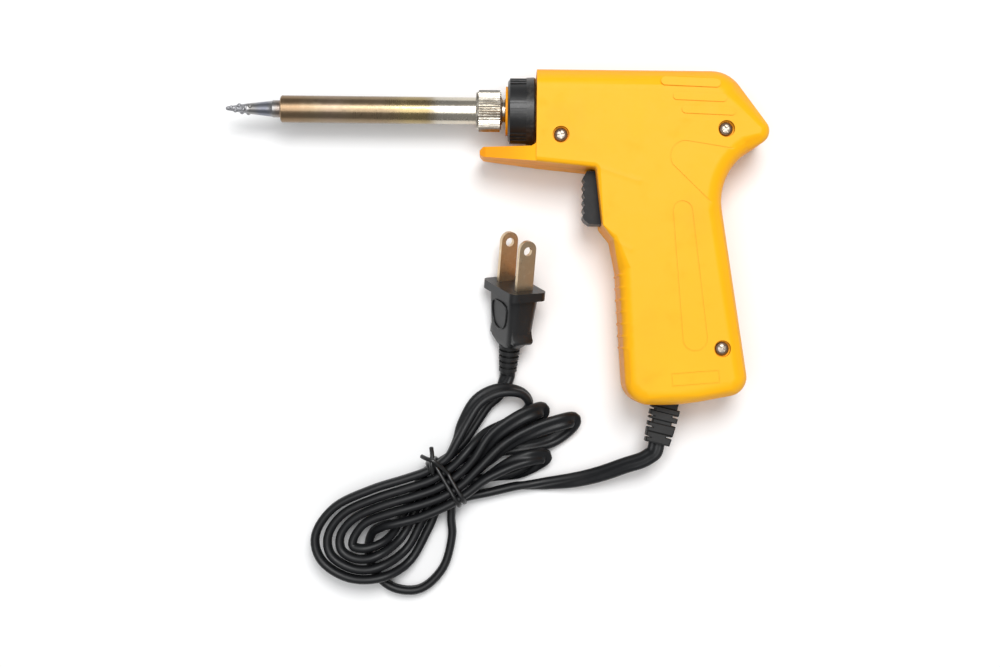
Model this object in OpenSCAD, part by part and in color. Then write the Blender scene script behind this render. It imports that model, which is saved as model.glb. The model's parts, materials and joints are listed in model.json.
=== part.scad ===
// Instant-heat soldering iron, pistol form, with its mains cord and plug
// It lies on its right shell. +X runs from the tip to the rear, +Y from the grip to the roof, +Z up
// Places are first given from the barrel axis, the body's front face and the parting plane of the
// shells, and the module set moves them so that the origin is under the middle of the iron

/* [Body shells] */
// Length from the front face to the rear corner, before that corner is rounded
body_l = 80.5; // [76:0.5:90]
// Height of the roof above the barrel axis
head_top = 13.4; // [12.8:0.2:16]
// Depth of the grip's lowest corners below the barrel axis
body_drop = 100.3; // [96:0.5:112]
// Half of the thickness, from the parting plane to a flat side
body_half_t = 15; // [14:0.5:18]
// Wall of the moulded shells
wall = 2; // [1.6:0.1:2.4]
// Thickness of the wall that closes the front of the head
front_wall = 3; // [2.4:0.2:4]

/* [Finger tongue] */
// Reach of the tongue in front of the body
tongue_l = 19.2; // [14:0.2:24]
// Thickness of the tongue at its end
tongue_tip_t = 3.4; // [2.4:0.2:4.4]
// Thickness of the tongue at the body
tongue_root_t = 5.2; // [4.4:0.2:6]
// Width of the tongue at its end
tongue_tip_w = 16; // [10:0.5:20]

/* [Nose and lock ring] */
// Length of the round nose
nose_l = 10.5; // [9.5:0.1:12]
// Radius of the round nose
nose_r = 8.4; // [8.2:0.05:9]
// Length of the lock ring
ring_l = 9.4; // [8:0.1:10]
// Radius of the lock ring's ribbed front
ring_r = 11.05; // [10.6:0.05:12]
// Extra radius of the lock ring's smooth rear band
ring_band_step = 0.6; // [0.3:0.1:1]
// Groups of grip ribs round the lock ring
ring_groups = 6; // [4:1:8]

/* [Barrel and nut] */
// Outer radius of the barrel tube
barrel_r = 4.65; // [4.5:0.05:4.9]
// Wall of the barrel tube
barrel_wall = 0.5; // [0.4:0.05:0.6]
// Length of the barrel tube in front of the nut
barrel_l = 67.3; // [55:0.5:80]
// Radius of the hole that the barrel is rolled in to at its front
barrel_mouth_r = 3.1; // [3.05:0.05:3.3]
// Length of the knurled nut
nut_l = 8.6; // [8:0.1:11]
// Radius over the nut's knurl
nut_r = 7.15; // [6.8:0.05:8]
// Bare neck that shows between nose and nut
nut_gap = 1.5; // [1:0.1:3]
// Teeth of the nut's straight knurl
nut_teeth = 50; // [36:2:60]

/* [Tip] */
// Radius of the tip's base in front of the barrel
tip_r = 2.95; // [2.7:0.05:3]
// Length of the tip's straight base
tip_base_l = 3.1; // [2:0.1:5]
// Length of the tip's cone
tip_cone_l = 8.5; // [6:0.1:12]
// Length of the slender end past the cone
tip_end_l = 7.4; // [5:0.1:10]
// Radius of the slender end where the cone meets it
tip_neck_r = 1.75; // [1.4:0.05:2.2]
// Radius of the rounded point
tip_point_r = 0.7; // [0.5:0.05:1]
// Radius of the shank inside the heater
tip_shank_r = 2; // [1.8:0.05:2.05]

/* [Heater] */
// Length of the ceramic heater core
core_l = 44; // [34:0.5:50]
// Outer radius of the ceramic heater core
core_r = 3; // [2.9:0.05:3.05]
// Thickness of the wound heating layer
winding_t = 0.35; // [0.3:0.05:0.4]
// Thickness of the mica sleeve
mica_t = 0.35; // [0.3:0.05:0.4]

/* [Trigger] */
// Travel of the trigger
trigger_travel = 4; // [2:0.5:4.5]
// Half of the trigger's width
trigger_half_w = 6; // [4.5:0.25:7]
// Length of the trigger along the grip
trigger_h = 18.2; // [16:0.2:18.4]
// How far the trigger stands out of the body
trigger_out = 4.6; // [4.6:0.1:6]
// Ribs on the trigger's front
trigger_ribs = 6; // [4:1:8]
// Depth of the hollows between the trigger's ribs
trigger_rib_d = 0.8; // [0.4:0.1:1.2]

/* [Switch] */
// Depth of the switch body behind the trigger
switch_d = 16; // [14:0.5:17]
// Length of the switch body along the grip
switch_h = 28; // [26:0.5:29]
// Thickness of the switch body
switch_t = 10.3; // [8:0.1:12]
// Radius of the switch plunger
plunger_r = 1.75; // [1.2:0.05:2]

/* [Screws] */
// Radius of the case screws' recess
recess_r = 2.85; // [2.6:0.05:3.2]
// Depth of the case screws' recess
recess_d = 2.6; // [2.2:0.1:3.4]
// Radius of the case screws' heads
head_r = 2.3; // [2:0.05:2.5]
// Radius of the case screws' shanks
screw_r = 1.45; // [1.2:0.05:1.6]

/* [Cord gland] */
// Length of the gland outside the body
gland_l = 14; // [12:0.5:18]
// Width of the gland
gland_w = 10; // [9:0.25:11]
// Thickness of the gland
gland_t = 7.2; // [6.5:0.1:9]

/* [Cord and plug] */
// Width of the flat two-core cord
cord_w = 5.7; // [5.4:0.1:5.8]
// Thickness of the flat two-core cord
cord_t = 2.9; // [2.6:0.1:3]
// Length of the plug's moulded body behind its flange
plug_l = 18.5; // [16:0.5:22]
// Length of the plug's ribbed strain relief
relief_l = 10.5; // [9:0.5:12]
// Width of a plug blade
blade_w = 6.35; // [6.2:0.05:6.5]
// Thickness of a plug blade
blade_t = 1.5; // [1.4:0.05:1.6]
// Length of a plug blade outside the plug
blade_l = 17.5; // [16:0.1:18.5]
// Spacing of the two plug blades
blade_pitch = 12.7; // [12.2:0.1:13]

/* [Hidden] */
$fn = 64;
over = 1;           // overrun of every cut
fit = 0.1;          // clearance of a fixed fit
run = 0.3;          // clearance of a moving or soft fit
arc_step = 8;       // degrees between the outline's points round a corner

// Corners of the side outline behind the front face, clockwise from the roof's rear end
// Each row: share of body_l, share of head_top above the axis or of body_drop below it, corner radius as a
// share of body_drop, radius of the edge along the flat side as a share of body_half_t
corner_shares = [
    [0.814, 1, 0.12, 0.53],
    [1, -0.085, 0.045, 0.25],
    [0.76, -0.212, 0.2, 0.4],
    [0.907, -0.955, 0.065, 0.37],
    [0.621, -1, 0.6, 0.36],
    [0.389, -1, 0.08, 0.36],
    [0.351, -0.5524, 0.1, 0.36],
    [0.326, -0.444, 0.015, 0.14],
    [0.281, -0.398, 0.012, 0.04],
    [0.251, -0.2025, 0.01, 0.12]];
front_edge_share = 0.53;   // edge radius at the front of the roof, share of body_half_t
belly_share = -0.1835;     // underside at the front face, share of body_drop
belly_y = belly_share * body_drop;
n_corner = len(corner_shares);

function unit(v) = v / norm(v);
function corner_xy(c) = [c[0] * body_l, c[1] > 0 ? c[1] * head_top : c[1] * body_drop];
trigger_corner = corner_xy(corner_shares[9]);
housing_corner = corner_xy(corner_shares[8]);
belly_slope = (belly_y - trigger_corner[1]) / trigger_corner[0];
outer_corners = concat(
    [[[0, head_top], 0, front_edge_share * body_half_t]],
    [for (c = corner_shares) [corner_xy(c), c[2] * body_drop, c[3] * body_half_t]],
    [[[0, belly_y], 0, corner_shares[9][3] * body_half_t]]);

// Outward normal of the edge from a to b of a clockwise outline
function edge_normal(a, b) = let (d = unit(b - a)) [-d[1], d[0]];
// The corners of the same outline one wall further in, with the arcs on the same centres
function inner_corner(c, i, w) = let (
    m = len(c), p = c[i][0], a = c[(i + m - 1) % m][0], b = c[(i + 1) % m][0],
    n1 = edge_normal(a, p), n2 = edge_normal(p, b), bulge = cross(p - a, b - p) < 0,
    q = p - (n1 + n2) / (1 + n1 * n2) * w,
    r = bulge ? max(c[i][1] - w, w / 2) : c[i][1] + w,
    e = min(max(c[i][2] - w, w / 5), bulge ? 0.8 * r : c[i][2]))
    [q, r, e];
inner_line = [for (i = [1 : n_corner]) inner_corner(outer_corners, i, wall)];
inner_corners = concat(
    [[[front_wall, head_top - wall], 0, front_edge_share * body_half_t - wall]],
    inner_line,
    [[[front_wall, belly_y - front_wall * belly_slope + wall], 0, inner_line[n_corner - 1][2]]]);

// The points round one corner, each with its outward normal and its edge radius
function turn(c, i) = let (m = len(c)) [c[(i + m - 1) % m][0], c[i][0], c[(i + 1) % m][0]];
function arc_count(k) = let (t = turn(outer_corners, k),
    a = acos(unit(t[1] - t[0]) * unit(t[2] - t[1]))) max(2, ceil(a / arc_step));
function arc_points(c, i, n) = let (
    t = turn(c, i), p = t[1], d1 = unit(p - t[0]), d2 = unit(t[2] - p), n1 = [-d1[1], d1[0]],
    n2 = [-d2[1], d2[0]], bulge = cross(d1, d2) < 0, r = c[i][1],
    ctr = p - (n1 + n2) / (1 + n1 * n2) * (bulge ? r : -r),
    a1 = atan2(n1[1], n1[0]), a2 = atan2(n2[1], n2[0]), da = ((a2 - a1 + 540) % 360) - 180)
    [for (k = [0 : n]) let (a = a1 + da * k / n, q = [cos(a), sin(a)])
        [ctr + q * (bulge ? r : -r), q, c[i][2]]];
// Grip ridges across the front strap, which fade out where they reach the flat side
ridge_n = 7;
ridge_top = -56.6;
ridge_pitch = 4.1;
ridge_w = 1.2;
ridge_h = 0.4;
strap_corner = 6;
function strap_rows(c, h) = let (a = c[strap_corner][0], b = c[strap_corner + 1][0], d = unit(b - a),
    n = edge_normal(a, b), e = c[strap_corner][2])
    [for (i = [ridge_n - 1 : -1 : 0], k = [-1, -0.3, 0.3, 1])
        let (y = ridge_top - i * ridge_pitch + k * ridge_w / 2, up = abs(k) < 1 ? h : 0)
        [a + d * (y - a[1]) / d[1] + n * up, n, e + up]];
function outline(c, h) = let (m = len(c)) concat(
    [[c[0][0], [0, 1], c[0][2]]],
    [for (i = [1 : m - 2]) each concat(arc_points(c, i, arc_count(i)),
        i == strap_corner ? strap_rows(c, h) : [])],
    [[c[m - 1][0], [0, -1], c[m - 1][2]]]);
outer_line = outline(outer_corners, ridge_h);
inner_outline = outline(inner_corners, 0);
outline_n = len(outer_line);
rear_x = max([for (p = outer_line) p[0][0]]);

// Rings of a half shell from the parting plane to the flat side, at height t over the plane
function ring_at(line, t, a) = [for (p = line)
    let (e = p[2] * (1 - cos(a))) [p[0][0] - p[1][0] * e, p[0][1] - p[1][1] * e, t - p[2] * (1 - sin(a))]];
function plane_ring(line) = [for (p = line) [p[0][0], p[0][1], 0]];
skin = 0.05;               // the blank is this much too thick, and is cut to its flat side
outer_angles = [0, 15, 30, 45, 60, 75, 90];
inner_angles = [0, 45, 90];
cup_points = concat(
    plane_ring(outer_line),
    [for (a = outer_angles) each ring_at(outer_line, body_half_t + skin, a)],
    plane_ring(inner_outline),
    [for (a = inner_angles) each ring_at(inner_outline, body_half_t - wall, a)]);
function band(a, b, flip) = [for (i = [0 : outline_n - 1]) let (j = (i + 1) % outline_n)
    each flip ? [[a + i, b + i, b + j], [a + i, b + j, a + j]] : [[a + i, b + j, b + i], [a + i, a + j, b + j]]];
outer_rings = len(outer_angles) + 1;
inner_rings = len(inner_angles) + 1;
inner_start = outer_rings * outline_n;
last_ring = inner_start + (inner_rings - 1) * outline_n;
cup_faces = concat(
    [for (k = [0 : outer_rings - 2]) each band(k * outline_n, (k + 1) * outline_n, false)],
    [[for (i = [0 : outline_n - 1]) inner_start - outline_n + i]],
    [for (k = [0 : inner_rings - 2])
        each band(inner_start + k * outline_n, inner_start + (k + 1) * outline_n, true)],
    [[for (i = [outline_n - 1 : -1 : 0]) last_ring + i]],
    band(0, inner_start, true));

// Where everything lies along the barrel axis, from the body's front face towards the tip
nose_x = -nose_l;
nut_rear_x = nose_x - nut_gap;
nut_front_x = nut_rear_x - nut_l;
barrel_front_x = nut_front_x - barrel_l;
tip_base_x = barrel_front_x - tip_base_l;
tip_cone_x = tip_base_x - tip_cone_l;
tip_x = tip_cone_x - tip_end_l;
barrel_in_r = barrel_r - barrel_wall;      // bore of the barrel tube
thread_step = 0.35;                        // the ferrule's thread stands this much over the barrel
stub_r = barrel_r + thread_step;
thread_fit = 0.05;
in_nut_r = barrel_r - 0.25;                // the barrel is a little thinner inside the nut's lip
stub_l = nut_l - 2;                        // the threaded stub ends before the nut's front lip
stub_x = nut_rear_x - stub_l;
neck_r = barrel_r - 0.15;
flange_step = 2.1;
flange_w = 2;
flange_x = nose_x + 3.6;                   // front of the ferrule's flange in the nose
ferrule_tail = 4;
ferrule_bore_r = barrel_in_r - 0.35;

// The iron without its cord, for the place of the origin
gland_lean = 13;
gland_at = [45.9, -body_drop];
gland_dir = [-sin(gland_lean), -cos(gland_lean)];
gland_side = [cos(gland_lean), -sin(gland_lean)];
gland_taper_share = 0.86;                  // width at the gland's free end, share of gland_w
gland_end = gland_at + gland_dir * gland_l;
gland_low = gland_end[1] - gland_w / 2 * sin(gland_lean) * gland_taper_share;
origin = [(tip_x + rear_x) / 2, (head_top + gland_low) / 2, -body_half_t];

module set() {
    translate(-origin)
        children();
}

// A solid of revolution about the barrel axis, from points of place along it and radius
module turned(points) {
    rotate([0, 90, 0])
        rotate([0, 0, 180])
            rotate_extrude()
                polygon([for (p = points) [p[1], p[0]]]);
}

// A round bar along the barrel axis from x1 to x2
module bar_x(x1, x2, r) {
    translate([x1, 0, 0])
        rotate([0, 90, 0])
            cylinder(h = x2 - x1, r = r);
}

// A flat tube swept along a route. Each row of route: centre, roll from lying flat, in degrees
function frame_at(route, i) = let (n = len(route) - 1,
    t = unit(route[min(i + 1, n)][0] - route[max(i - 1, 0)][0]),
    s = unit(cross(t, [0, 0, 1])), u = cross(s, t), q = route[i][1])
    [s * cos(q) + u * sin(q), u * cos(q) - s * sin(q)];
function tube_points(route, section) = [for (i = [0 : len(route) - 1]) let (f = frame_at(route, i))
    each [for (p = section) route[i][0] + f[0] * p[0] + f[1] * p[1]]];
function tube_faces(rings, sides) = concat(
    [[for (k = [0 : sides - 1]) k]],
    [for (i = [0 : rings - 2]) for (k = [0 : sides - 1]) let (a = i * sides, b = a + sides, j = (k + 1) % sides)
        each [[a + k, b + k, b + j], [a + k, b + j, a + j]]],
    [[for (k = [sides - 1 : -1 : 0]) (rings - 1) * sides + k]]);
module tube(route, section) {
    polyhedron(tube_points(route, section), tube_faces(len(route), len(section)));
}
// Sections: a flat cord with eight or six sides, and a round wire
function flat_eight(w, t) = [for (q = [[1, 0.4], [0.72, 1], [-0.72, 1], [-1, 0.4], [-1, -0.4], [-0.72, -1],
    [0.72, -1], [1, -0.4]]) [q[0] * w / 2, q[1] * t / 2]];
function flat_six(w, t) = [for (q = [[1, 0], [0.66, 1], [-0.66, 1], [-1, 0], [-0.66, -1], [0.66, -1]])
    [q[0] * w / 2, q[1] * t / 2]];
function round_wire(r, n) = [for (k = [0 : n - 1]) [r * cos(360 * k / n), r * sin(360 * k / n)]];
// A smooth curve through the rows of a route, with n steps from row to row
function spline_row(a, b, c, d, t) = ((b * 2) + (c - a) * t + (a * 2 - b * 5 + c * 4 - d) * t * t
    + (b * 3 - a - c * 3 + d) * t * t * t) / 2;
function smooth(route, n) = let (m = len(route) - 1) concat(
    [for (i = [0 : m - 1]) for (k = [0 : n - 1]) let (t = k / n,
        a = route[max(i - 1, 0)], b = route[i], c = route[i + 1], d = route[min(i + 2, m)])
        [spline_row(a[0], b[0], c[0], d[0], t), spline_row(a[1], b[1], c[1], d[1], t)]],
    [route[m]]);

// Screw places on the side outline
screw_at = [[8.2, -9.5], [63.8, -7], [63.2, -81]];
boss_r = 3.5;
pilot_depth = 10;
hole_r = screw_r + 0.15;
pilot_r = screw_r + 0.05;

// Raised bars at the rear of the head: left end, right end, half height, drop to the rear in degrees
bars = [[[41.6, 8.9], 20, 1.4], [[45.7, 3.9], 18.1, 1.3], [[48.7, -0.6], 18.1, 1.3]];
bar_drop = 2;
bar_out = 0.5;

// Shallow lines moulded in the left shell's side
line_w = 0.4;
line_d = 0.3;
slot_top = [49.3, -34.8];
slot_low = [53.9, -77.8];
slot_top_r = 3.45;
slot_low_r = 4.3;
badge_at = [54.2, -91.1];
badge_size = [16.2, 4.5];
badge_turn = 5;
panel_arc_at = [50.2, -16.5];
panel_arc_r = 5.2;
panel_rear = [68.6, -14.1];
panel_low = [61.1, -34];

// Opening of the trigger in the front of the housing
opening_top = trigger_corner[1] - run;
opening_low = opening_top - trigger_h - 2 * run;
opening_half_w = trigger_half_w + run;
trigger_top = opening_top - run;
trigger_low = trigger_top - trigger_h;
trigger_front = trigger_corner[0] - trigger_out + 0.6;
flange_front = housing_corner[0] + wall + 1.9;
flange_t = 1.8;
trigger_rear = flange_front + flange_t;
flange_extra = 2.2;
plunger_y = (trigger_top + trigger_low) / 2;
switch_x = trigger_rear + trigger_travel + 3.7;
switch_low = plunger_y - switch_h / 2;
switch_pins = [[switch_x + 3.4, plunger_y + 10.6], [switch_x + 12.4, plunger_y - 10.6]];
pin_r = 1.4;
post_r = 2.6;

// Clamp that holds the cord inside the grip
clamp_at = [46.6, -88.5];
clamp_pitch = 14;
clamp_size = [19, 5.5, 2.4];
clamp_post_r = 2.7;
clamp_screw_r = 1.1;
saddle_w = 8;

module flat_groove(outer_r, w) {
    difference() {
        circle(r = outer_r);
        circle(r = outer_r - w);
    }
}

// The tapered slot line's outline, shrunk by inset: an arc round each end, joined by tangents
module slot_outline(inset) {
    d = slot_low - slot_top;
    way = atan2(d[1], d[0]);
    tilt = asin((slot_low_r - slot_top_r) / norm(d));
    steps = 14;
    polygon(concat(
        [for (k = [0 : steps]) let (q = way + 90 + tilt + (180 - 2 * tilt) * k / steps)
            slot_top + (slot_top_r - inset) * [cos(q), sin(q)]],
        [for (k = [0 : steps]) let (q = way - 90 - tilt + (180 + 2 * tilt) * k / steps)
            slot_low + (slot_low_r - inset) * [cos(q), sin(q)]]));
}

module side_lines() {
    translate([0, 0, body_half_t - line_d])
        linear_extrude(line_d + over) {
            difference() {
                slot_outline(0);
                slot_outline(line_w);
            }
            translate(badge_at)
                rotate(badge_turn)
                    difference() {
                        square(badge_size, center = true);
                        square(badge_size - [2 * line_w, 2 * line_w], center = true);
                    }
            // Panel line: a run from the rear, round a corner, and down towards the grip's back
            line_strip(panel_rear, panel_arc_at + panel_arc_r * [sin(8), cos(8)]);
            line_strip(panel_arc_at + panel_arc_r * [-cos(32), -sin(32)], panel_low);
            translate(panel_arc_at)
                difference() {
                    flat_groove(panel_arc_r + line_w / 2, line_w);
                    rotate(-8)
                        translate([0, -2 * panel_arc_r])
                            square([2 * panel_arc_r, 4 * panel_arc_r]);
                    rotate(-58)
                        translate([0, -2 * panel_arc_r])
                            square([2 * panel_arc_r, 2 * panel_arc_r]);
                }
        }
}

// A thin strip between two points
module line_strip(a, b) {
    d = b - a;
    translate(a)
        rotate(atan2(d[1], d[0]))
            translate([0, -line_w / 2])
                square([norm(d), line_w]);
}

module side_bars() {
    for (b = bars)
        translate([b[0][0], b[0][1], body_half_t - 3])
            rotate(-bar_drop)
                linear_extrude(3 + bar_out) {
                    translate([b[2], 0])
                        circle(r = b[2]);
                    translate([b[1] - b[2], 0])
                        circle(r = b[2]);
                    translate([b[2], -b[2]])
                        square([b[1] - 2 * b[2], 2 * b[2]]);
                }
}

// The tongue's half above the parting plane
module tongue_half() {
    top_y = belly_y + tongue_root_t;
    tip_top = belly_y + belly_slope * tongue_l + tongue_tip_t;
    tip_low = belly_y + belly_slope * tongue_l;
    round_r = tongue_tip_t / 3;
    root_w = body_half_t - 1.5;
    intersection() {
        linear_extrude(body_half_t)
            difference() {
                union() {
                    polygon([[front_wall / 2, belly_y + wall / 2], [front_wall / 2, top_y],
                        [0, top_y + 1.5], [-0.4, top_y + 0.7], [-1.6, top_y], [-tongue_l + round_r, tip_top],
                        [-tongue_l, tip_top - round_r], [-tongue_l, tip_low + round_r],
                        [-tongue_l + round_r, tip_low], [0, belly_y + fit]]);
                }
            }
        rotate([-90, 0, 0])
            translate([0, 0, -body_drop])
                linear_extrude(2 * body_drop)
                    polygon([[front_wall, over], [front_wall, -root_w], [0, -root_w],
                        [-tongue_l + tongue_tip_w / 8, -tongue_tip_w / 2],
                        [-tongue_l, -tongue_tip_w * 3 / 8], [-tongue_l, over]]);
    }
}

module nose_half() {
    difference() {
        bar_x(nose_x, front_wall * 0.6, nose_r);
        translate([nose_x - over, -2 * nose_r, -2 * nose_r])
            cube([nose_l + front_wall + 2 * over, 4 * nose_r, 2 * nose_r]);
    }
}

// Half of the casing above the parting plane, with what both shells share
module casing_half() {
    difference() {
        union() {
            difference() {
                polyhedron(cup_points, cup_faces);
                translate([-over, -body_drop - over, body_half_t])
                    cube([body_l + 2 * over, body_drop + head_top + 2 * over, over]);
            }
            tongue_half();
            nose_half();
            for (s = screw_at)
                translate(s)
                    cylinder(h = body_half_t - wall / 2, r = boss_r);
            for (p = switch_pins)
                translate([p[0], p[1], switch_t / 2 + fit])
                    cylinder(h = body_half_t - wall / 2 - switch_t / 2 - fit, r = post_r);
        }
        bar_x(nose_x - over, front_wall + over, neck_r + fit);
        bar_x(flange_x - fit, flange_x + flange_w + fit, neck_r + flange_step + fit);
        // Trigger opening, through the front of the housing only
        translate([trigger_front, opening_low, -over])
            cube([flange_front - trigger_front, opening_top - opening_low, opening_half_w + over]);
        // Slot for the gland's neck
        translate([gland_at[0], gland_at[1], 0])
            rotate(gland_lean * -1)
                translate([-gland_neck_w / 2 - fit, -over, -over])
                    cube([gland_neck_w + 2 * fit, wall + 3 * over, gland_neck_t / 2 + fit + over]);
    }
}

module left_shell() {
    color([1, 0.76, 0.13])
        set()
            difference() {
                union() {
                    casing_half();
                    side_bars();
                }
                side_lines();
                for (s = screw_at)
                    translate([s[0], s[1], body_half_t - recess_d])
                        cylinder(h = recess_d + over, r = recess_r);
                for (s = screw_at)
                    translate([s[0], s[1], -over])
                        cylinder(h = body_half_t, r = hole_r);
            }
}

module right_shell() {
    color([1, 0.74, 0.12])
        set()
            union() {
                mirror([0, 0, 1])
                    difference() {
                        casing_half();
                        for (s = screw_at)
                            translate([s[0], s[1], -over])
                                cylinder(h = pilot_depth + over, r = pilot_r);
                    }
                // Pins through the switch, posts for the clamp and the saddle under the cord
                for (p = switch_pins)
                    translate([p[0], p[1], -body_half_t + wall / 2])
                        cylinder(h = body_half_t - wall / 2 + switch_t / 2 - fit, r = pin_r);
                for (k = [-1, 1])
                    translate([clamp_at[0] + k * clamp_pitch / 2, clamp_at[1], -body_half_t + wall / 2])
                        difference() {
                            cylinder(h = body_half_t - wall / 2 + cord_t / 2, r = clamp_post_r);
                            translate([0, 0, body_half_t / 2])
                                cylinder(h = body_half_t, r = clamp_screw_r + 0.05);
                        }
                translate([clamp_at[0] - saddle_w / 2, clamp_at[1] - clamp_size[1] / 2, -body_half_t + wall / 2])
                    cube([saddle_w, clamp_size[1], body_half_t - wall / 2 - cord_t / 2 - fit]);
            }
}

// Gland: a flange inside the shells, a neck through them, and two ribbed blocks outside
gland_neck_w = gland_w - 2;
gland_neck_t = gland_t - 1.4;
gland_flange_in = 4.4;
gland_flange_l = 2.2;
gland_gap = 1.35;

module gland_block(a, b, wa, wb, t) {
    translate([0, 0, -t / 2])
        linear_extrude(t)
            polygon([[-wa / 2, -a], [wa / 2, -a], [wb / 2, -b], [-wb / 2, -b]]);
}

module cord_gland() {
    e = gland_l;
    w = gland_w;
    color([0.07, 0.07, 0.07])
        set()
            translate([gland_at[0], gland_at[1], 0])
                rotate(-gland_lean) {
                    gland_block(-gland_flange_in - gland_flange_l, -gland_flange_in, w * 1.3, w * 1.3, gland_t * 1.25);
                    gland_block(-gland_flange_in, gland_gap, gland_neck_w, gland_neck_w, gland_neck_t);
                    gland_block(gland_gap, e * 0.42, w, w * 0.97, gland_t);
                    gland_block(e * 0.42, e * 0.5, w * 0.66, w * 0.66, gland_t * 0.72);
                    gland_block(e * 0.5, e, w * 0.96, w * gland_taper_share, gland_t * 0.95);
                }
}

module lock_ring() {
    rib_h = 0.4;
    rib_w = 0.75;
    rib_turn = 9;
    group_turn = 360 / ring_groups;
    band_l = ring_l / 3;
    front_x = nose_x + 0.8;
    rear_x_ring = front_x + ring_l;
    band_x = rear_x_ring - band_l;
    color([0.06, 0.06, 0.06])
        set() {
            difference() {
                turned([[front_x, nose_r + fit], [front_x, ring_r - 1], [front_x + 0.7, ring_r],
                    [band_x, ring_r + 0.15], [band_x, ring_r + ring_band_step - 0.15],
                    [rear_x_ring - 0.6, ring_r + ring_band_step], [rear_x_ring, ring_r + ring_band_step - 0.4],
                    [rear_x_ring, nose_r + fit]]);
                bar_x(front_x - over, rear_x_ring + over, nose_r + fit);
            }
            for (g = [0 : ring_groups - 1], k = [-1 : 1])
                rotate([g * group_turn + k * rib_turn, 0, 0])
                    translate([front_x + 0.7, -rib_w / 2, ring_r - rib_h])
                        cube([band_x - front_x - 0.7, rib_w, 2 * rib_h]);
        }
}

// Screw heads with a cross recess, on plain shanks
module pan_screw(r, head, height, length) {
    cross_w = head * 0.28;
    difference() {
        union() {
            translate([0, 0, -length])
                cylinder(h = length + height / 4, r = r);
            rotate_extrude()
                polygon([[0, 0], [head, 0], [head, height * 0.45], [head * 0.88, height * 0.78],
                    [head * 0.55, height], [0, height]]);
        }
        for (a = [0, 90])
            rotate(a)
                translate([-head * 0.6, -cross_w / 2, height * 0.35])
                    cube([head * 1.2, cross_w, height]);
    }
}

module case_screws() {
    color([0.75, 0.72, 0.7])
        set()
            for (i = [0 : len(screw_at) - 1])
                translate([screw_at[i][0], screw_at[i][1], body_half_t - recess_d])
                    rotate(15 + 20 * i)
                        pan_screw(screw_r, head_r, recess_d * 0.68, body_half_t - recess_d + pilot_depth * 0.9);
}

module ferrule() {
    tail_r = neck_r;
    waist_r = neck_r - 0.5;
    color([0.8, 0.78, 0.72])
        set()
            turned([[stub_x, ferrule_bore_r], [stub_x, stub_r - 0.3], [stub_x + 0.3, stub_r],
                [nut_rear_x, stub_r], [nut_rear_x + nut_gap * 0.3, waist_r],
                [nut_rear_x + nut_gap * 0.8, waist_r], [nose_x, neck_r], [flange_x, neck_r],
                [flange_x, neck_r + flange_step], [flange_x + flange_w, neck_r + flange_step],
                [flange_x + flange_w, tail_r], [ferrule_tail, tail_r], [ferrule_tail, ferrule_bore_r]]);
}

module knurled_nut() {
    tooth = 0.3;
    lip = 0.9;
    step = 360 / nut_teeth;
    seat_x = nut_front_x + 0.8;
    color([0.85, 0.82, 0.76])
        set()
            difference() {
                union() {
                    translate([nut_front_x + lip, 0, 0])
                        rotate([0, 90, 0])
                            linear_extrude(nut_l - 1.5 * lip)
                                polygon([for (i = [0 : nut_teeth - 1]) each [
                                    nut_r * [cos(i * step), sin(i * step)],
                                    (nut_r - tooth) * [cos((i + 0.4) * step), sin((i + 0.4) * step)],
                                    (nut_r - tooth) * [cos((i + 0.6) * step), sin((i + 0.6) * step)]]]);
                    turned([[nut_front_x, 0], [nut_front_x, nut_r - 1], [nut_front_x + 0.3, nut_r - 0.7],
                        [nut_front_x + lip, nut_r - 0.5], [nut_front_x + lip + over, nut_r - 0.5],
                        [nut_front_x + lip + over, 0]]);
                    turned([[nut_rear_x - lip, 0], [nut_rear_x - lip, nut_r - 0.5], [nut_rear_x, nut_r - 0.8],
                        [nut_rear_x, 0]]);
                }
                bar_x(nut_front_x - over, nut_rear_x + over, in_nut_r + thread_fit);
                bar_x(seat_x, nut_rear_x + over, stub_r + thread_fit);
            }
}

module barrel_tube() {
    rim_x = nut_front_x + 0.8 + fit;
    rim_w = 0.7;
    roll = 0.5;
    color([0.5, 0.42, 0.33])
        set()
            turned([[barrel_front_x, barrel_mouth_r], [barrel_front_x, barrel_r - 0.4],
                [barrel_front_x + 0.4, barrel_r], [nut_front_x - fit, barrel_r],
                [nut_front_x - fit, in_nut_r], [rim_x, in_nut_r], [rim_x, stub_r - thread_fit],
                [rim_x + rim_w, stub_r - thread_fit], [rim_x + rim_w, barrel_in_r],
                [barrel_front_x + roll + 0.4, barrel_in_r], [barrel_front_x + roll, barrel_in_r - 0.4],
                [barrel_front_x + roll, barrel_mouth_r]]);
}

tip_shoulder_l = 2.4;
tip_shoulder_x = barrel_front_x + 0.9 + fit;
core_x = tip_shoulder_x + tip_shoulder_l + run;
core_rear_x = core_x + core_l;
shank_l = 16;

module tip() {
    base_r = min(tip_r, barrel_mouth_r - fit);
    color([0.42, 0.42, 0.46])
        set()
            turned([[tip_x, 0], [tip_x, tip_point_r * 0.6], [tip_x + 0.5, tip_point_r],
                [tip_cone_x, tip_neck_r], [tip_base_x, base_r - 0.25], [tip_base_x + 0.4, base_r],
                [tip_shoulder_x, base_r], [tip_shoulder_x, barrel_in_r - run],
                [tip_shoulder_x + tip_shoulder_l, barrel_in_r - run],
                [tip_shoulder_x + tip_shoulder_l, tip_shank_r],
                [tip_shoulder_x + tip_shoulder_l + shank_l, tip_shank_r],
                [tip_shoulder_x + tip_shoulder_l + shank_l, 0]]);
}

winding_in = core_r + thread_fit;
winding_out = winding_in + winding_t;
mica_in = winding_out + thread_fit;
mica_out = mica_in + mica_t;

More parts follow.
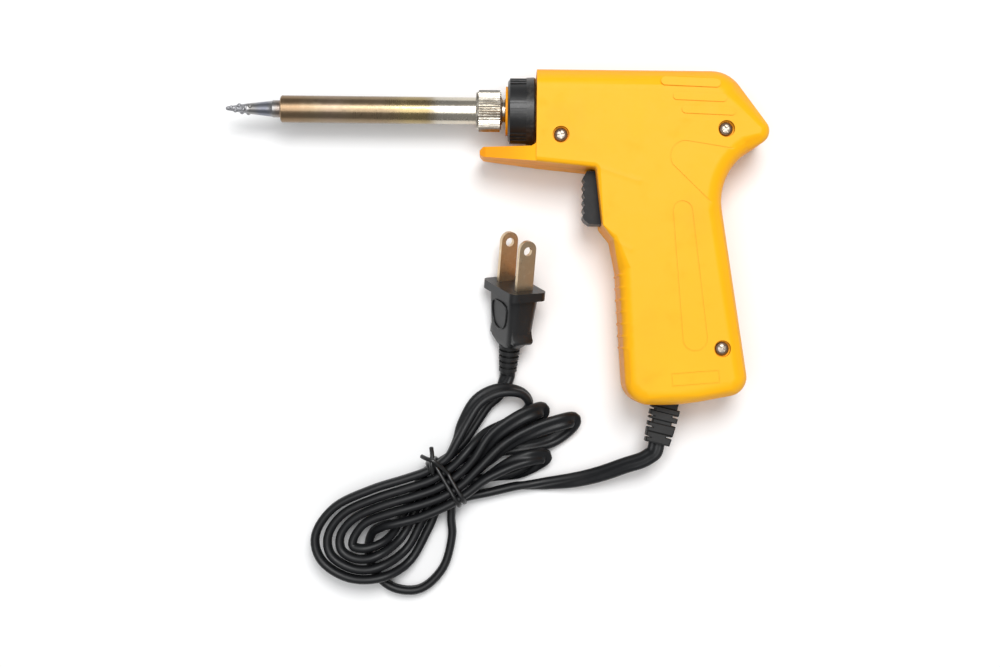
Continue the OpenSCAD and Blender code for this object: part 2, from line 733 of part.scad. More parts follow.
module heater_core() {
    bore_end = tip_shoulder_x + tip_shoulder_l + shank_l + 2;
    bore_r = tip_shank_r + 0.15;
    color([0.93, 0.92, 0.88])
        set()
            turned([[core_x, bore_r], [core_x, core_r], [core_rear_x, core_r], [core_rear_x, 0],
                [bore_end, 0], [bore_end, bore_r]]);
}

module heater_winding() {
    color([0.6, 0.58, 0.55])
        set()
            turned([[core_x + 2, winding_in], [core_x + 2, winding_out], [core_rear_x - 2, winding_out],
                [core_rear_x - 2, winding_in]]);
}

module mica_sleeve() {
    color([0.8, 0.72, 0.55])
        set()
            turned([[core_x + 1, mica_in], [core_x + 1, mica_out], [core_rear_x - 1, mica_out],
                [core_rear_x - 1, mica_in]]);
}

lead_z = 1.6;
lead_r = 0.55;
bush_tail = 9;

module ceramic_bush() {
    front = core_rear_x + 0.2;
    shoulder = stub_x - run;
    color([0.95, 0.94, 0.9])
        set()
            difference() {
                turned([[front, 0], [front, barrel_in_r - run], [shoulder, barrel_in_r - run],
                    [shoulder, ferrule_bore_r - fit], [shoulder + bush_tail, ferrule_bore_r - fit],
                    [shoulder + bush_tail, 0]]);
                for (k = [-1, 1])
                    translate([0, 0, k * lead_z])
                        bar_x(front - over, shoulder + bush_tail + over, lead_r + run);
            }
}

// Wires inside the head and the grip, each one its own tube
crimp_x = 24;
crimp_l = 9;
crimp_r = 1.7;
crimp_y = -3;
crimp_z = 4.5;
wire_r = 0.7;
wire = round_wire(wire_r, 8);
lead_wire = round_wire(lead_r, 8);
function lead_route(k) = [[[core_rear_x + 0.5, 0, k * lead_z], 0], [[ferrule_tail, 0, k * lead_z], 0],
    [[ferrule_tail + 4, 0, k * lead_z], 0], [[crimp_x - 8, crimp_y * 0.6, k * crimp_z * 0.75], 0],
    [[crimp_x - 4, crimp_y, k * crimp_z], 0], [[crimp_x + 2, crimp_y, k * crimp_z], 0]];

module heater_leads() {
    color([0.9, 0.9, 0.86])
        set()
            for (k = [-1, 1])
                tube(lead_route(k), lead_wire);
}

module crimp_connectors() {
    color([0.85, 0.2, 0.15])
        set()
            for (k = [-1, 1])
                translate([0, crimp_y, k * crimp_z])
                    difference() {
                        bar_x(crimp_x, crimp_x + crimp_l, crimp_r);
                        bar_x(crimp_x - over, crimp_x + crimp_l + over, wire_r + fit);
                    }
}

module trigger() {
    pitch = (trigger_h - 2.4) / trigger_ribs;
    corner = 1.2;
    rear_top = trigger_top - 1.6;
    color([0.08, 0.08, 0.08])
        set() {
            translate([0, 0, -trigger_half_w])
                linear_extrude(2 * trigger_half_w)
                    polygon(concat(
                        [[flange_front + fit, trigger_top], [trigger_front + corner, trigger_top]],
                        [for (i = [0 : trigger_ribs - 1], q = [0 : 3])
                            let (y = trigger_top - corner - (i + q / 4) * pitch)
                            [trigger_front + trigger_rib_d * [0.9, 0.2, 0, 0.35][q], y]],
                        [[trigger_front + trigger_rib_d, trigger_low + corner],
                            [trigger_front + 2 * corner, trigger_low], [flange_front + fit, trigger_low]]));
            translate([flange_front, trigger_low + fit, -trigger_half_w - flange_extra])
                cube([flange_t, rear_top - trigger_low - fit, 2 * (trigger_half_w + flange_extra)]);
        }
}

// Return spring round the plunger
spring_r = 2.95;
spring_wire_r = 0.3;
spring_turns = 4;
spring_steps = 8;
spring_a = trigger_rear + run + spring_wire_r;
spring_b = switch_x - run - spring_wire_r;
function coil_point(t) = let (a = 360 * spring_turns * t)
    [spring_a + (spring_b - spring_a) * t, plunger_y + spring_r * cos(a), spring_r * sin(a)];
spring_n = spring_turns * spring_steps;
spring_path = [for (i = [0 : spring_n]) coil_point(i / spring_n)];
function coil_ring(i) = let (a = 360 * spring_turns * i / spring_n, c = spring_path[i])
    [for (k = [0 : 5]) let (q = 60 * k) c + spring_wire_r * (cos(q) * [0, cos(a), sin(a)] + sin(q) * [1, 0, 0])];

module trigger_spring() {
    color([0.75, 0.75, 0.78])
        set()
            polyhedron([for (i = [0 : spring_n]) each coil_ring(i)], tube_faces(spring_n + 1, 6));
}

module switch_body() {
    bore_l = trigger_travel + 4;
    color([0.15, 0.15, 0.17])
        set()
            difference() {
                translate([switch_x, switch_low, -switch_t / 2])
                    cube([switch_d, switch_h, switch_t]);
                translate([0, plunger_y, 0])
                    bar_x(switch_x - over, switch_x + bore_l, plunger_r + fit);
                for (p = switch_pins)
                    translate([p[0], p[1], -switch_t])
                        cylinder(h = 2 * switch_t, r = pin_r + 0.15);
            }
}

module switch_plunger() {
    color([0.85, 0.15, 0.12])
        set()
            translate([0, plunger_y, 0])
                bar_x(trigger_rear + fit, switch_x + 3.5, plunger_r);
}

tab_l = 5.5;
tab_w = 4.8;
tab_t = 0.8;
tab_y = [8.4, 0, -8.4];
tab_x = switch_x + switch_d;

module switch_terminals() {
    color([0.8, 0.65, 0.3])
        set()
            for (y = tab_y)
                translate([tab_x, plunger_y + y - tab_w / 2, -tab_t / 2])
                    difference() {
                        cube([tab_l, tab_w, tab_t]);
                        translate([tab_l * 0.66, tab_w / 2, -over])
                            cylinder(h = 3 * over, r = 0.8);
                    }
}

module diode() {
    diode_r = 1.35;
    diode_l = 5.2;
    pin_rad = 0.4;
    x = tab_x + tab_l * 0.5;
    y1 = plunger_y + tab_y[1] + 1.3;
    y2 = plunger_y + tab_y[0] - 1.3;
    z = tab_t / 2 + diode_r + fit;
    color([0.1, 0.1, 0.1])
        set() {
            translate([x, (y1 + y2) / 2, z])
                rotate([90, 0, 0])
                    cylinder(h = diode_l, r = diode_r, center = true);
            translate([x, y2 + pin_rad, z])
                rotate([90, 0, 0])
                    cylinder(h = y2 - y1 + 2 * pin_rad, r = pin_rad);
            for (y = [y1, y2])
                translate([x, y, tab_t / 2 + fit / 2])
                    cylinder(h = z - tab_t / 2 - fit / 2, r = pin_rad);
        }
}

// Mains cores: one to the lower tab of the switch, one up the grip's back to a crimp connector
clamp_top = clamp_at[1] + 6;
tab_end = tab_x + tab_l;
core_spread = 1.5;
core_low = -8.5;
post_way = switch_pins[0][0] + post_r + wire_r + fit + run;  // between the two posts behind the switch
core_a_route = [[[clamp_at[0] + core_spread, clamp_top + run, 0], 0],
    [[clamp_at[0] + core_spread, clamp_top + 2 * core_spread, 0], 0],
    [[clamp_at[0] + 9, clamp_top + 18, 0], 0], [[tab_end + 0.4, plunger_y + tab_y[2] - 14, 0], 0],
    [[tab_end + wire_r + fit, plunger_y + tab_y[2] - 3, 0], 0],
    [[tab_end + wire_r + fit, plunger_y + tab_y[2] + 1.5, 0], 0]];
core_b_route = [[[clamp_at[0] - core_spread, clamp_top + run, 0], 0],
    [[clamp_at[0] - core_spread, clamp_top + 2 * core_spread, 0], 0],
    [[clamp_at[0] - 4, clamp_top + 16, core_low + core_spread], 0], [[post_way, switch_low - 4, core_low], 0],
    [[post_way, plunger_y, core_low], 0], [[post_way, plunger_y + switch_h / 2, core_low], 0],
    [[switch_x + 5, crimp_y - 4.5, -6], 0], [[switch_x + 1, crimp_y - 0.6, -crimp_z], 0],
    [[crimp_x + crimp_l + 1, crimp_y, -crimp_z], 0], [[crimp_x + crimp_l - 3, crimp_y, -crimp_z], 0]];
jumper_route = [[[tab_end + wire_r + fit, plunger_y + tab_y[0] - 1.5, 0], 0],
    [[tab_end + wire_r + fit, plunger_y + tab_y[0] + 4, 0.5], 0], [[tab_end - 3, crimp_y - 6, 4], 0],
    [[tab_end - 8, crimp_y - 0.8, crimp_z], 0], [[crimp_x + crimp_l + 1, crimp_y, crimp_z], 0],
    [[crimp_x + crimp_l - 3, crimp_y, crimp_z], 0]];

module mains_cores() {
    color([0.25, 0.35, 0.7])
        set() {
            tube(smooth(core_a_route, 2), wire);
            tube(smooth(core_b_route, 2), wire);
        }
}

module jumper_wire() {
    color([0.9, 0.9, 0.92])
        set()
            tube(smooth(jumper_route, 2), wire);
}

module cord_inner() {
    start = gland_at - gland_dir * (gland_flange_in + gland_flange_l + fit);
    straight = start - gland_dir * cord_t / 2;
    color([0.05, 0.05, 0.05])
        set()
            tube([[[start[0], start[1], 0], 0], [[straight[0], straight[1], 0], 0],
                [[clamp_at[0], clamp_at[1] - clamp_size[1] / 2, 0], 0],
                [[clamp_at[0], clamp_at[1], 0], 0], [[clamp_at[0], clamp_top, 0], 0]], flat_eight(cord_w, cord_t));
}

module cord_clamp() {
    color([0.12, 0.12, 0.12])
        set()
            translate([clamp_at[0], clamp_at[1], cord_t / 2 + fit])
                difference() {
                    translate([-clamp_size[0] / 2, -clamp_size[1] / 2, 0])
                        cube(clamp_size);
                    for (k = [-1, 1])
                        translate([k * clamp_pitch / 2, 0, -over])
                            cylinder(h = clamp_size[2] + 2 * over, r = clamp_screw_r + 0.15);
                }
}

module clamp_screws() {
    color([0.75, 0.75, 0.77])
        set()
            for (k = [-1, 1])
                translate([clamp_at[0] + k * clamp_pitch / 2, clamp_at[1], cord_t / 2 + fit + clamp_size[2]])
                    pan_screw(clamp_screw_r, 2.1, 1.5, 7);
}

// The free cord. Heights are over the surface that the iron lies on, and sizes are real
function on_table(p) = [p[0], p[1], p[2] - body_half_t];
lead_points = [[40.6, -118.2, 14.5], [37.6, -120, 13.6], [32.3, -121.9, 11.8], [23.7, -125.3, 8.4],
    [15.1, -127.7, 5.2], [6, -129.1, 3.3], [-2, -130.0, 3.3], [-10, -131.6, 3.1]];
lead_rolls = [0, 0, 0, 10, 25, 50, 75, 90];
hank_in = [[-16, -133.4, 3.1], [-21.5, -135.6, 3.1]];
lead_straight = [for (s = [0, cord_t]) on_table([gland_end[0] + gland_dir[0] * s,
    gland_end[1] + gland_dir[1] * s, body_half_t])];
lead_route_rows = concat(
    [for (p = lead_straight) [p, 0]],
    [for (i = [0 : len(lead_points) - 1]) [on_table(lead_points[i]), lead_rolls[i]]],
    [for (p = hank_in) [on_table(p), 90]]);

module cord_lead() {
    color([0.05, 0.05, 0.05])
        set()
            tube(lead_route_rows, flat_eight(cord_w, cord_t));
}

// The hank: its waist lies under the tie
waist_at = [-29.3, -128.4];
waist_turn = 33;
waist_w = 5 * cord_t + 2.2;
waist_t = 2 * cord_w + 0.9;
hank_right = [[22, -12], [46, -9], [50, 0], [44, 8.7], [20, 8.7]];
hank_left = [[-24, 13], [-44, 9], [-50, -6], [-40, -22], [-18, -20]];

module cord_hank() {
    color([0.05, 0.05, 0.05])
        set()
            translate([waist_at[0], waist_at[1], 1 - body_half_t])
                rotate(waist_turn)
                    linear_extrude(waist_t)
                        polygon(concat(hank_right, [[4, waist_w / 2], [-4, waist_w / 2]], hank_left,
                            [[-4, -waist_w / 2], [8, -waist_w / 2]]));
}

module twist_tie() {
    tie_r = 0.5;
    n = 24;
    color([0.04, 0.04, 0.04])
        set()
            for (k = [0, 1])
                translate([waist_at[0], waist_at[1], 1 + waist_t / 2 - body_half_t])
                    rotate(waist_turn)
                        translate([3 * k - 1.5, 0, 0])
                            rotate([90, 0, 90])
                                linear_extrude(2 * tie_r)
                                    difference() {
                                        square([waist_w + 4 * tie_r + 2 * run, waist_t + 4 * tie_r], center = true);
                                        square([waist_w + 2 * run, waist_t + 0.2], center = true);
                                    }
}

// The plug lies tilted on its flange, its blades up and to the rear of the photo's top
plug_at = [-6.7, -59.9, 13.25];
plug_yaw = 4;
plug_pitch = 17.5;
plug_roll = 30;
plug_flange = [14, 3, 22];
plug_root = [11, 18];
plug_rear = [9, 15.5];

module plug_place() {
    translate([plug_at[0], plug_at[1], plug_at[2] - body_half_t])
        rotate([0, 0, -plug_yaw])
            rotate([plug_pitch, 0, 0])
                rotate([0, plug_roll, 0])
                    children();
}

module plug_slab(w, h, y, t, r) {
    translate([0, y, 0])
        rotate([90, 0, 0])
            linear_extrude(t)
                hull()
                    for (a = [-1, 1], b = [-1, 1])
                        translate([a * (w / 2 - r), b * (h / 2 - r)])
                            circle(r = r, $fn = 24);
}

module plug_body() {
    color([0.06, 0.06, 0.06])
        set()
            plug_place()
                difference() {
                    union() {
                        plug_slab(plug_flange[0], plug_flange[2], 0, plug_flange[1], 2.5);
                        hull() {
                            plug_slab(plug_root[0], plug_root[1], -plug_flange[1], 0.5, 3);
                            plug_slab(plug_rear[0], plug_rear[1], -plug_flange[1] - plug_l + 3, 0.5, 3);
                        }
                        hull() {
                            plug_slab(plug_rear[0], plug_rear[1], -plug_flange[1] - plug_l + 3, 0.5, 3);
                            plug_slab(plug_rear[0] * 0.8, plug_rear[1] * 0.66, -plug_flange[1] - plug_l + 0.5, 0.5, 3);
                        }
                    }
                    for (k = [-1, 1])
                        translate([-blade_w / 2 - 0.05, -6, k * blade_pitch / 2 - blade_t / 2 - 0.05])
                            cube([blade_w + 0.1, 6 + over, blade_t + 0.1]);
                }
}

module plug_blades() {
    blade_root = 5.9;
    hole_back = 3.6;
    tip_round = blade_w / 2;
    color([0.7, 0.66, 0.58])
        set()
            plug_place()
                for (k = [-1, 1])
                    translate([0, 0, k * blade_pitch / 2 - blade_t / 2])
                        linear_extrude(blade_t)
                            difference() {
                                union() {
                                    translate([-blade_w / 2, -blade_root])
                                        square([blade_w, blade_root + blade_l - tip_round]);
                                    translate([0, blade_l - tip_round])
                                        circle(r = tip_round);
                                }
                                translate([0, blade_l - hole_back])
                                    circle(r = 1.55);
                            }
}

relief_r = 3.8;
relief_end_r = 3.15;
relief_ribs = 5;

module plug_relief() {
    y0 = plug_flange[1] + plug_l;
    pitch = relief_l / relief_ribs;
    core = 2.5;
    color([0.06, 0.06, 0.06])
        set()
            plug_place()
                translate([0, -y0, 0])
                    rotate([90, 0, 0])
                        rotate_extrude()
                            polygon(concat([[0, 0]],
                                [for (i = [0 : relief_ribs - 1]) let (
                                    r = relief_r + (relief_end_r - relief_r) * i / (relief_ribs - 1), y = i * pitch)
                                    each [[r, y], [r, y + pitch * 0.6], [core, y + pitch * 0.6], [core, y + pitch]]],
                                [[0, relief_l]]));
}

// Where the relief ends and which way the cord leaves it
plug_dir = [-sin(plug_yaw) * cos(plug_pitch), -cos(plug_yaw) * cos(plug_pitch), -sin(plug_pitch)];
relief_end = plug_at + plug_dir * (plug_flange[1] + plug_l + relief_l);
tail_points = [[-9.6, -94, 3], [-10.6, -96.6, 3.1], [-12.2, -99.4, 3.3], [-13.6, -102.6, 3.5], [-14.8, -106, 3.8]];
tail_rolls = [30, 35, 40, 50, 55];
tail_start = [for (s = [0, cord_t / 2]) on_table(relief_end + plug_dir * s)];
tail_route_rows = concat([for (p = tail_start) [p, 30]],
    [for (i = [0 : len(tail_points) - 1]) [on_table(tail_points[i]), tail_rolls[i]]]);

module cord_tail() {
    color([0.05, 0.05, 0.05])
        set()
            tube(tail_route_rows, flat_eight(cord_w, cord_t));
}

echo(origin = origin, rear_x = rear_x, tip_x = tip_x, trigger_rear = trigger_rear, switch_x = switch_x,
    gland_end = gland_end, relief_end = relief_end, outline_n = outline_n);

right_shell();
left_shell();
lock_ring();
case_screws();
ferrule();
knurled_nut();
barrel_tube();
tip();
heater_core();
heater_winding();
mica_sleeve();
ceramic_bush();
heater_leads();
trigger();
trigger_spring();
switch_body();
switch_plunger();
switch_terminals();
diode();
crimp_connectors();
mains_cores();
jumper_wire();
cord_inner();
cord_clamp();
clamp_screws();
cord_gland();
cord_lead();
cord_hank();
twist_tie();
cord_tail();
plug_relief();
plug_body();
plug_blades();
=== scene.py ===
import bpy, bmesh, json
from math import sin, cos, pi, radians
from mathutils import Vector, Matrix

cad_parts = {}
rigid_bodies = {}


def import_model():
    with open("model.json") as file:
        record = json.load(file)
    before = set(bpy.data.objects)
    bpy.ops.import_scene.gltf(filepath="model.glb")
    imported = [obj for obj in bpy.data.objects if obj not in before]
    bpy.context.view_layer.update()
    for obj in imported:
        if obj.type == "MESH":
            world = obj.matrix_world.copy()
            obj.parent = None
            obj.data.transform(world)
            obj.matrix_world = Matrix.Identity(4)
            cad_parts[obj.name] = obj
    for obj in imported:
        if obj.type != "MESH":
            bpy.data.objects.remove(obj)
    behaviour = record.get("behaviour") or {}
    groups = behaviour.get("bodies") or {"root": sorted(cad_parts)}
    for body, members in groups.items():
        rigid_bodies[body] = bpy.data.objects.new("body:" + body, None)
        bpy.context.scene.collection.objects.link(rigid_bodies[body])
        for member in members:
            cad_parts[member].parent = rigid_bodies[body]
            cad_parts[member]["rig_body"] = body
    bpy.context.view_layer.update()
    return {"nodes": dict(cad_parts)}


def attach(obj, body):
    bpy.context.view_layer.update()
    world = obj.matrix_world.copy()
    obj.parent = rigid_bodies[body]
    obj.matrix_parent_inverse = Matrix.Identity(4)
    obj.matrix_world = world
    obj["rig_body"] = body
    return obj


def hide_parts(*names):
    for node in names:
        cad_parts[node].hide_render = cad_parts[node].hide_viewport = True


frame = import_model()
NODES = frame["nodes"]

# Camera, floor and light. The photo looks straight down on the iron, which lies on its right side on
# white card under a soft window at the top of the picture.
MM = 0.001
ORIGIN = Vector((-14.1048, -50.7539, 0))    # the frame's origin, from the barrel's axis and the body's front face
MID_Z = 15                                  # height of the shells' joint and the barrel's axis over the table
CAMERA_AT = (0.0025, -0.0259, 0.5897)
CAMERA_TURN = radians(0.6)
CAMERA_LENS, CAMERA_SENSOR = 60, 36


def at(x, y, z=0):
    """A place in millimetres from the barrel's axis, the body's front face and the table, in the row frame."""
    return (Vector((x, y, z)) - ORIGIN) * MM


def set_up(data, place, turn):
    """Puts a camera or a light in the scene, at a place in metres and turned from looking straight down."""
    o = bpy.data.objects.new(data.name, data)
    bpy.context.scene.collection.objects.link(o)
    o.location, o.rotation_euler = place, turn
    return o


camera = bpy.data.cameras.new("camera")
camera.lens, camera.sensor_width = CAMERA_LENS, CAMERA_SENSOR
bpy.context.scene.camera = set_up(camera, CAMERA_AT, (0, 0, CAMERA_TURN))


def soft_light(name, place, aim, size, power):
    """A round soft light, with its places and its width in metres."""
    data = bpy.data.lights.new(name, "AREA")
    data.shape, data.size, data.energy = "DISK", size, power
    set_up(data, place, (Vector(aim) - Vector(place)).to_track_quat("-Z", "Y").to_euler())


soft_light("window", (0.12, 0.42, 1.15), (0, -0.02, 0), 0.5, 9.0)
soft_light("ceiling", (-0.15, -0.05, 1.3), (0, 0, 0), 1.0, 7.0)
bpy.context.scene.view_settings.view_transform = "Standard"

world = bpy.data.worlds.new("world")
bpy.context.scene.world = world
world.use_nodes = True
nodes, links = world.node_tree.nodes, world.node_tree.links
sky, seen = nodes["Background"], nodes.new("ShaderNodeBackground")
for background, color, strength in ((sky, (0.96, 0.98, 1, 1), 0.32), (seen, (1, 1, 1, 1), 1.0)):
    background.inputs["Color"].default_value = color
    background.inputs["Strength"].default_value = strength
choice = nodes.new("ShaderNodeMixShader")
links.new(nodes.new("ShaderNodeLightPath").outputs["Is Camera Ray"], choice.inputs[0])
links.new(sky.outputs[0], choice.inputs[1])
links.new(seen.outputs[0], choice.inputs[2])
links.new(choice.outputs[0], nodes["World Output"].inputs[0])


def linear(rgb):
    """A colour as seen on screen, 0 to 255, as the shader's linear colour."""
    out = [((c / 255 + 0.055) / 1.055) ** 2.4 if c > 10 else c / 255 / 12.92 for c in rgb]
    return (*out, 1)


class Value:
    """A value in a material's node tree. Sums and products of it add Math nodes."""

    def __init__(self, tree, out):
        self.tree, self.out = tree, out

    def feed(self, kind, inputs=(), **settings):
        """A new node of a kind with its settings, fed with values or links; gives its first output."""
        n = self.tree.nodes.new(kind)
        for k, v in settings.items():
            setattr(n, k, v)
        for i, v in enumerate(inputs) if not isinstance(inputs, dict) else inputs.items():
            if isinstance(v, Value):
                self.tree.links.new(v.out, n.inputs[i])
            elif v is not None:
                n.inputs[i].default_value = v
        return Value(self.tree, n.outputs[0])

    def math(self, op, *args):
        return self.feed("ShaderNodeMath", args, operation=op)

    def __add__(self, o): return self.math("ADD", self, o)
    def __sub__(self, o): return self.math("SUBTRACT", self, o)
    def __mul__(self, o): return self.math("MULTIPLY", self, o)
    def __truediv__(self, o): return self.math("DIVIDE", self, o)
    def __pow__(self, o): return self.math("POWER", self, o)
    __radd__, __rmul__ = __add__, __mul__
    def absolute(self): return self.math("ABSOLUTE", self)
    def root(self): return self.math("SQRT", self)
    def sine(self): return self.math("SINE", self)
    def least(self, o): return self.math("MINIMUM", self, o)
    def most(self, o): return self.math("MAXIMUM", self, o)

    def step(self, low, high):
        """0 at low, 1 at high, smooth between, also where low is the greater."""
        first, last = (1.0, 0.0) if low > high else (0.0, 1.0)
        return self.feed("ShaderNodeMapRange", {0: self, 1: min(low, high), 2: max(low, high), 3: first, 4: last},
                         interpolation_type="SMOOTHSTEP")

    def band(self, low, high, soft):
        """1 between low and high, fading to 0 over soft on both sides."""
        return self.step(low - soft, low + soft) * self.step(high + soft, high - soft)


class Look:
    """A material under its piece's name: a Principled shader and the ways to vary it over the piece."""

    def __init__(self, name, color, rough, metal=0.0, coat=0.0, shine=0.5):
        self.m = bpy.data.materials.new(name)
        self.m.use_nodes = True
        self.tree = self.m.node_tree
        self.shader = self.tree.nodes["Principled BSDF"]
        coords = self.tree.nodes.new("ShaderNodeTexCoord")
        self.place = Value(self.tree, coords.outputs["Object"])
        parts = self.place.feed("ShaderNodeSeparateXYZ", [self.place])
        axes = parts.out.node.outputs
        self.x, self.y, self.z = (Value(self.tree, axes[i]) * 1000 for i in range(3))
        self.color, self.rough, self.height = linear(color), rough, None
        for socket, value in (("Metallic", metal), ("Coat Weight", coat), ("Specular IOR Level", shine),
                              ("Coat Roughness", 0.25)):
            self.shader.inputs[socket].default_value = value

    def pattern_place(self, stretch):
        """The place on the piece that a pattern reads; a stretch under 1 makes its features longer that way."""
        return self.place.feed("ShaderNodeMapping", {0: self.place, 3: stretch}) if stretch else self.place

    def noise(self, size, detail=4.0, stretch=None):
        """Noise from 0 to 1 whose features are about size mm wide."""
        v = self.pattern_place(stretch)
        return v.feed("ShaderNodeTexNoise", {"Vector": v, "Scale": 1000 / size, "Detail": detail, "Roughness": 0.55})

    def cells(self, size, stretch=None):
        """Distance from the middle of rounded cells about size mm wide."""
        v = self.pattern_place(stretch)
        return v.feed("ShaderNodeTexVoronoi", {"Vector": v, "Scale": 1000 / size})

    def specks(self, size, share, stretch=None):
        """Small separate spots: 1 in a spot, 0 outside, on about that share of the surface."""
        return self.cells(size, stretch).step(share, share * 0.55) * self.noise(size * 9, 2).step(0.42, 0.6)

    def paint(self, color, mask):
        """Lays a screen colour over the colour so far, where the mask is 1."""
        n = self.tree.nodes.new("ShaderNodeMix")
        n.data_type, n.clamp_factor = "RGBA", True
        self.tree.links.new(mask.out, n.inputs[0])
        if isinstance(self.color, Value):
            self.tree.links.new(self.color.out, n.inputs[6])
        else:
            n.inputs[6].default_value = self.color
        n.inputs[7].default_value = linear(color)
        self.color = Value(self.tree, n.outputs[2])

    def wear(self, amount):
        """Adds to the roughness."""
        self.rough = amount + self.rough

    def raise_by(self, height):
        """Adds height in millimetres to the bump."""
        self.height = height if self.height is None else self.height + height

    def done(self):
        """Links what has been laid down to the shader, and gives the material."""
        if isinstance(self.color, Value):
            self.tree.links.new(self.color.out, self.shader.inputs["Base Color"])
        else:
            self.shader.inputs["Base Color"].default_value = self.color
        if isinstance(self.rough, Value):
            r = self.rough.least(1.0).most(0.03)
            self.tree.links.new(r.out, self.shader.inputs["Roughness"])
        else:
            self.shader.inputs["Roughness"].default_value = self.rough
        if self.height is not None:
            b = self.height.feed("ShaderNodeBump", {"Height": self.height * MM, "Distance": 1.0, "Strength": 1.0})
            self.tree.links.new(b.out, self.shader.inputs["Normal"])
        return self.m


FLOOR_HALF = 4
floor_mesh = bpy.data.meshes.new("floor")
floor_mesh.from_pydata([(a * FLOOR_HALF, b * FLOOR_HALF, 0) for a, b in ((-1, -1), (1, -1), (1, 1), (-1, 1))],
                       [], [(0, 1, 2, 3)])
floor = bpy.data.objects.new("floor", floor_mesh)
bpy.context.scene.collection.objects.link(floor)
card = bpy.data.materials.new("white_card")
card.use_nodes = True
for socket, value in (("Base Color", (0.93, 0.93, 0.93, 1)), ("Roughness", 0.9), ("Specular IOR Level", 0.1)):
    card.node_tree.nodes["Principled BSDF"].inputs[socket].default_value = value
floor_mesh.materials.append(card)

# Free cord: one length of flat two-core PVC flex from the gland, wound in nine loops about a tied
# waist, and on to the plug's relief. Extruded; the copper inside gives its wide, springy bends.
CORD_W, CORD_T = 5.7, 2.9
GLAND_TILT = radians(13)
GLAND_END = Vector((42.7507, -113.941, MID_Z))
GLAND_DIR = Vector((-sin(GLAND_TILT), -cos(GLAND_TILT), 0))
PLUG_AT = Vector((-6.7, -59.9, 13.25))
PLUG_YAW, PLUG_PITCH, PLUG_ROLL = radians(4), radians(17.5), radians(30)
PLUG_DIR = Vector((-sin(PLUG_YAW) * cos(PLUG_PITCH), -cos(PLUG_YAW) * cos(PLUG_PITCH), -sin(PLUG_PITCH)))
PLUG_LENGTHS = {"flange": 3, "body": 18.5, "relief": 10.5}
RELIEF_END = PLUG_AT + PLUG_DIR * sum(PLUG_LENGTHS.values())
WAIST, WAIST_TURN = Vector((-29.3, -128.4, 0)), radians(33)
TOP, LOW, COL = 10.3, 3.9, 3.5       # heights of the two layers at the waist, and the step between strands

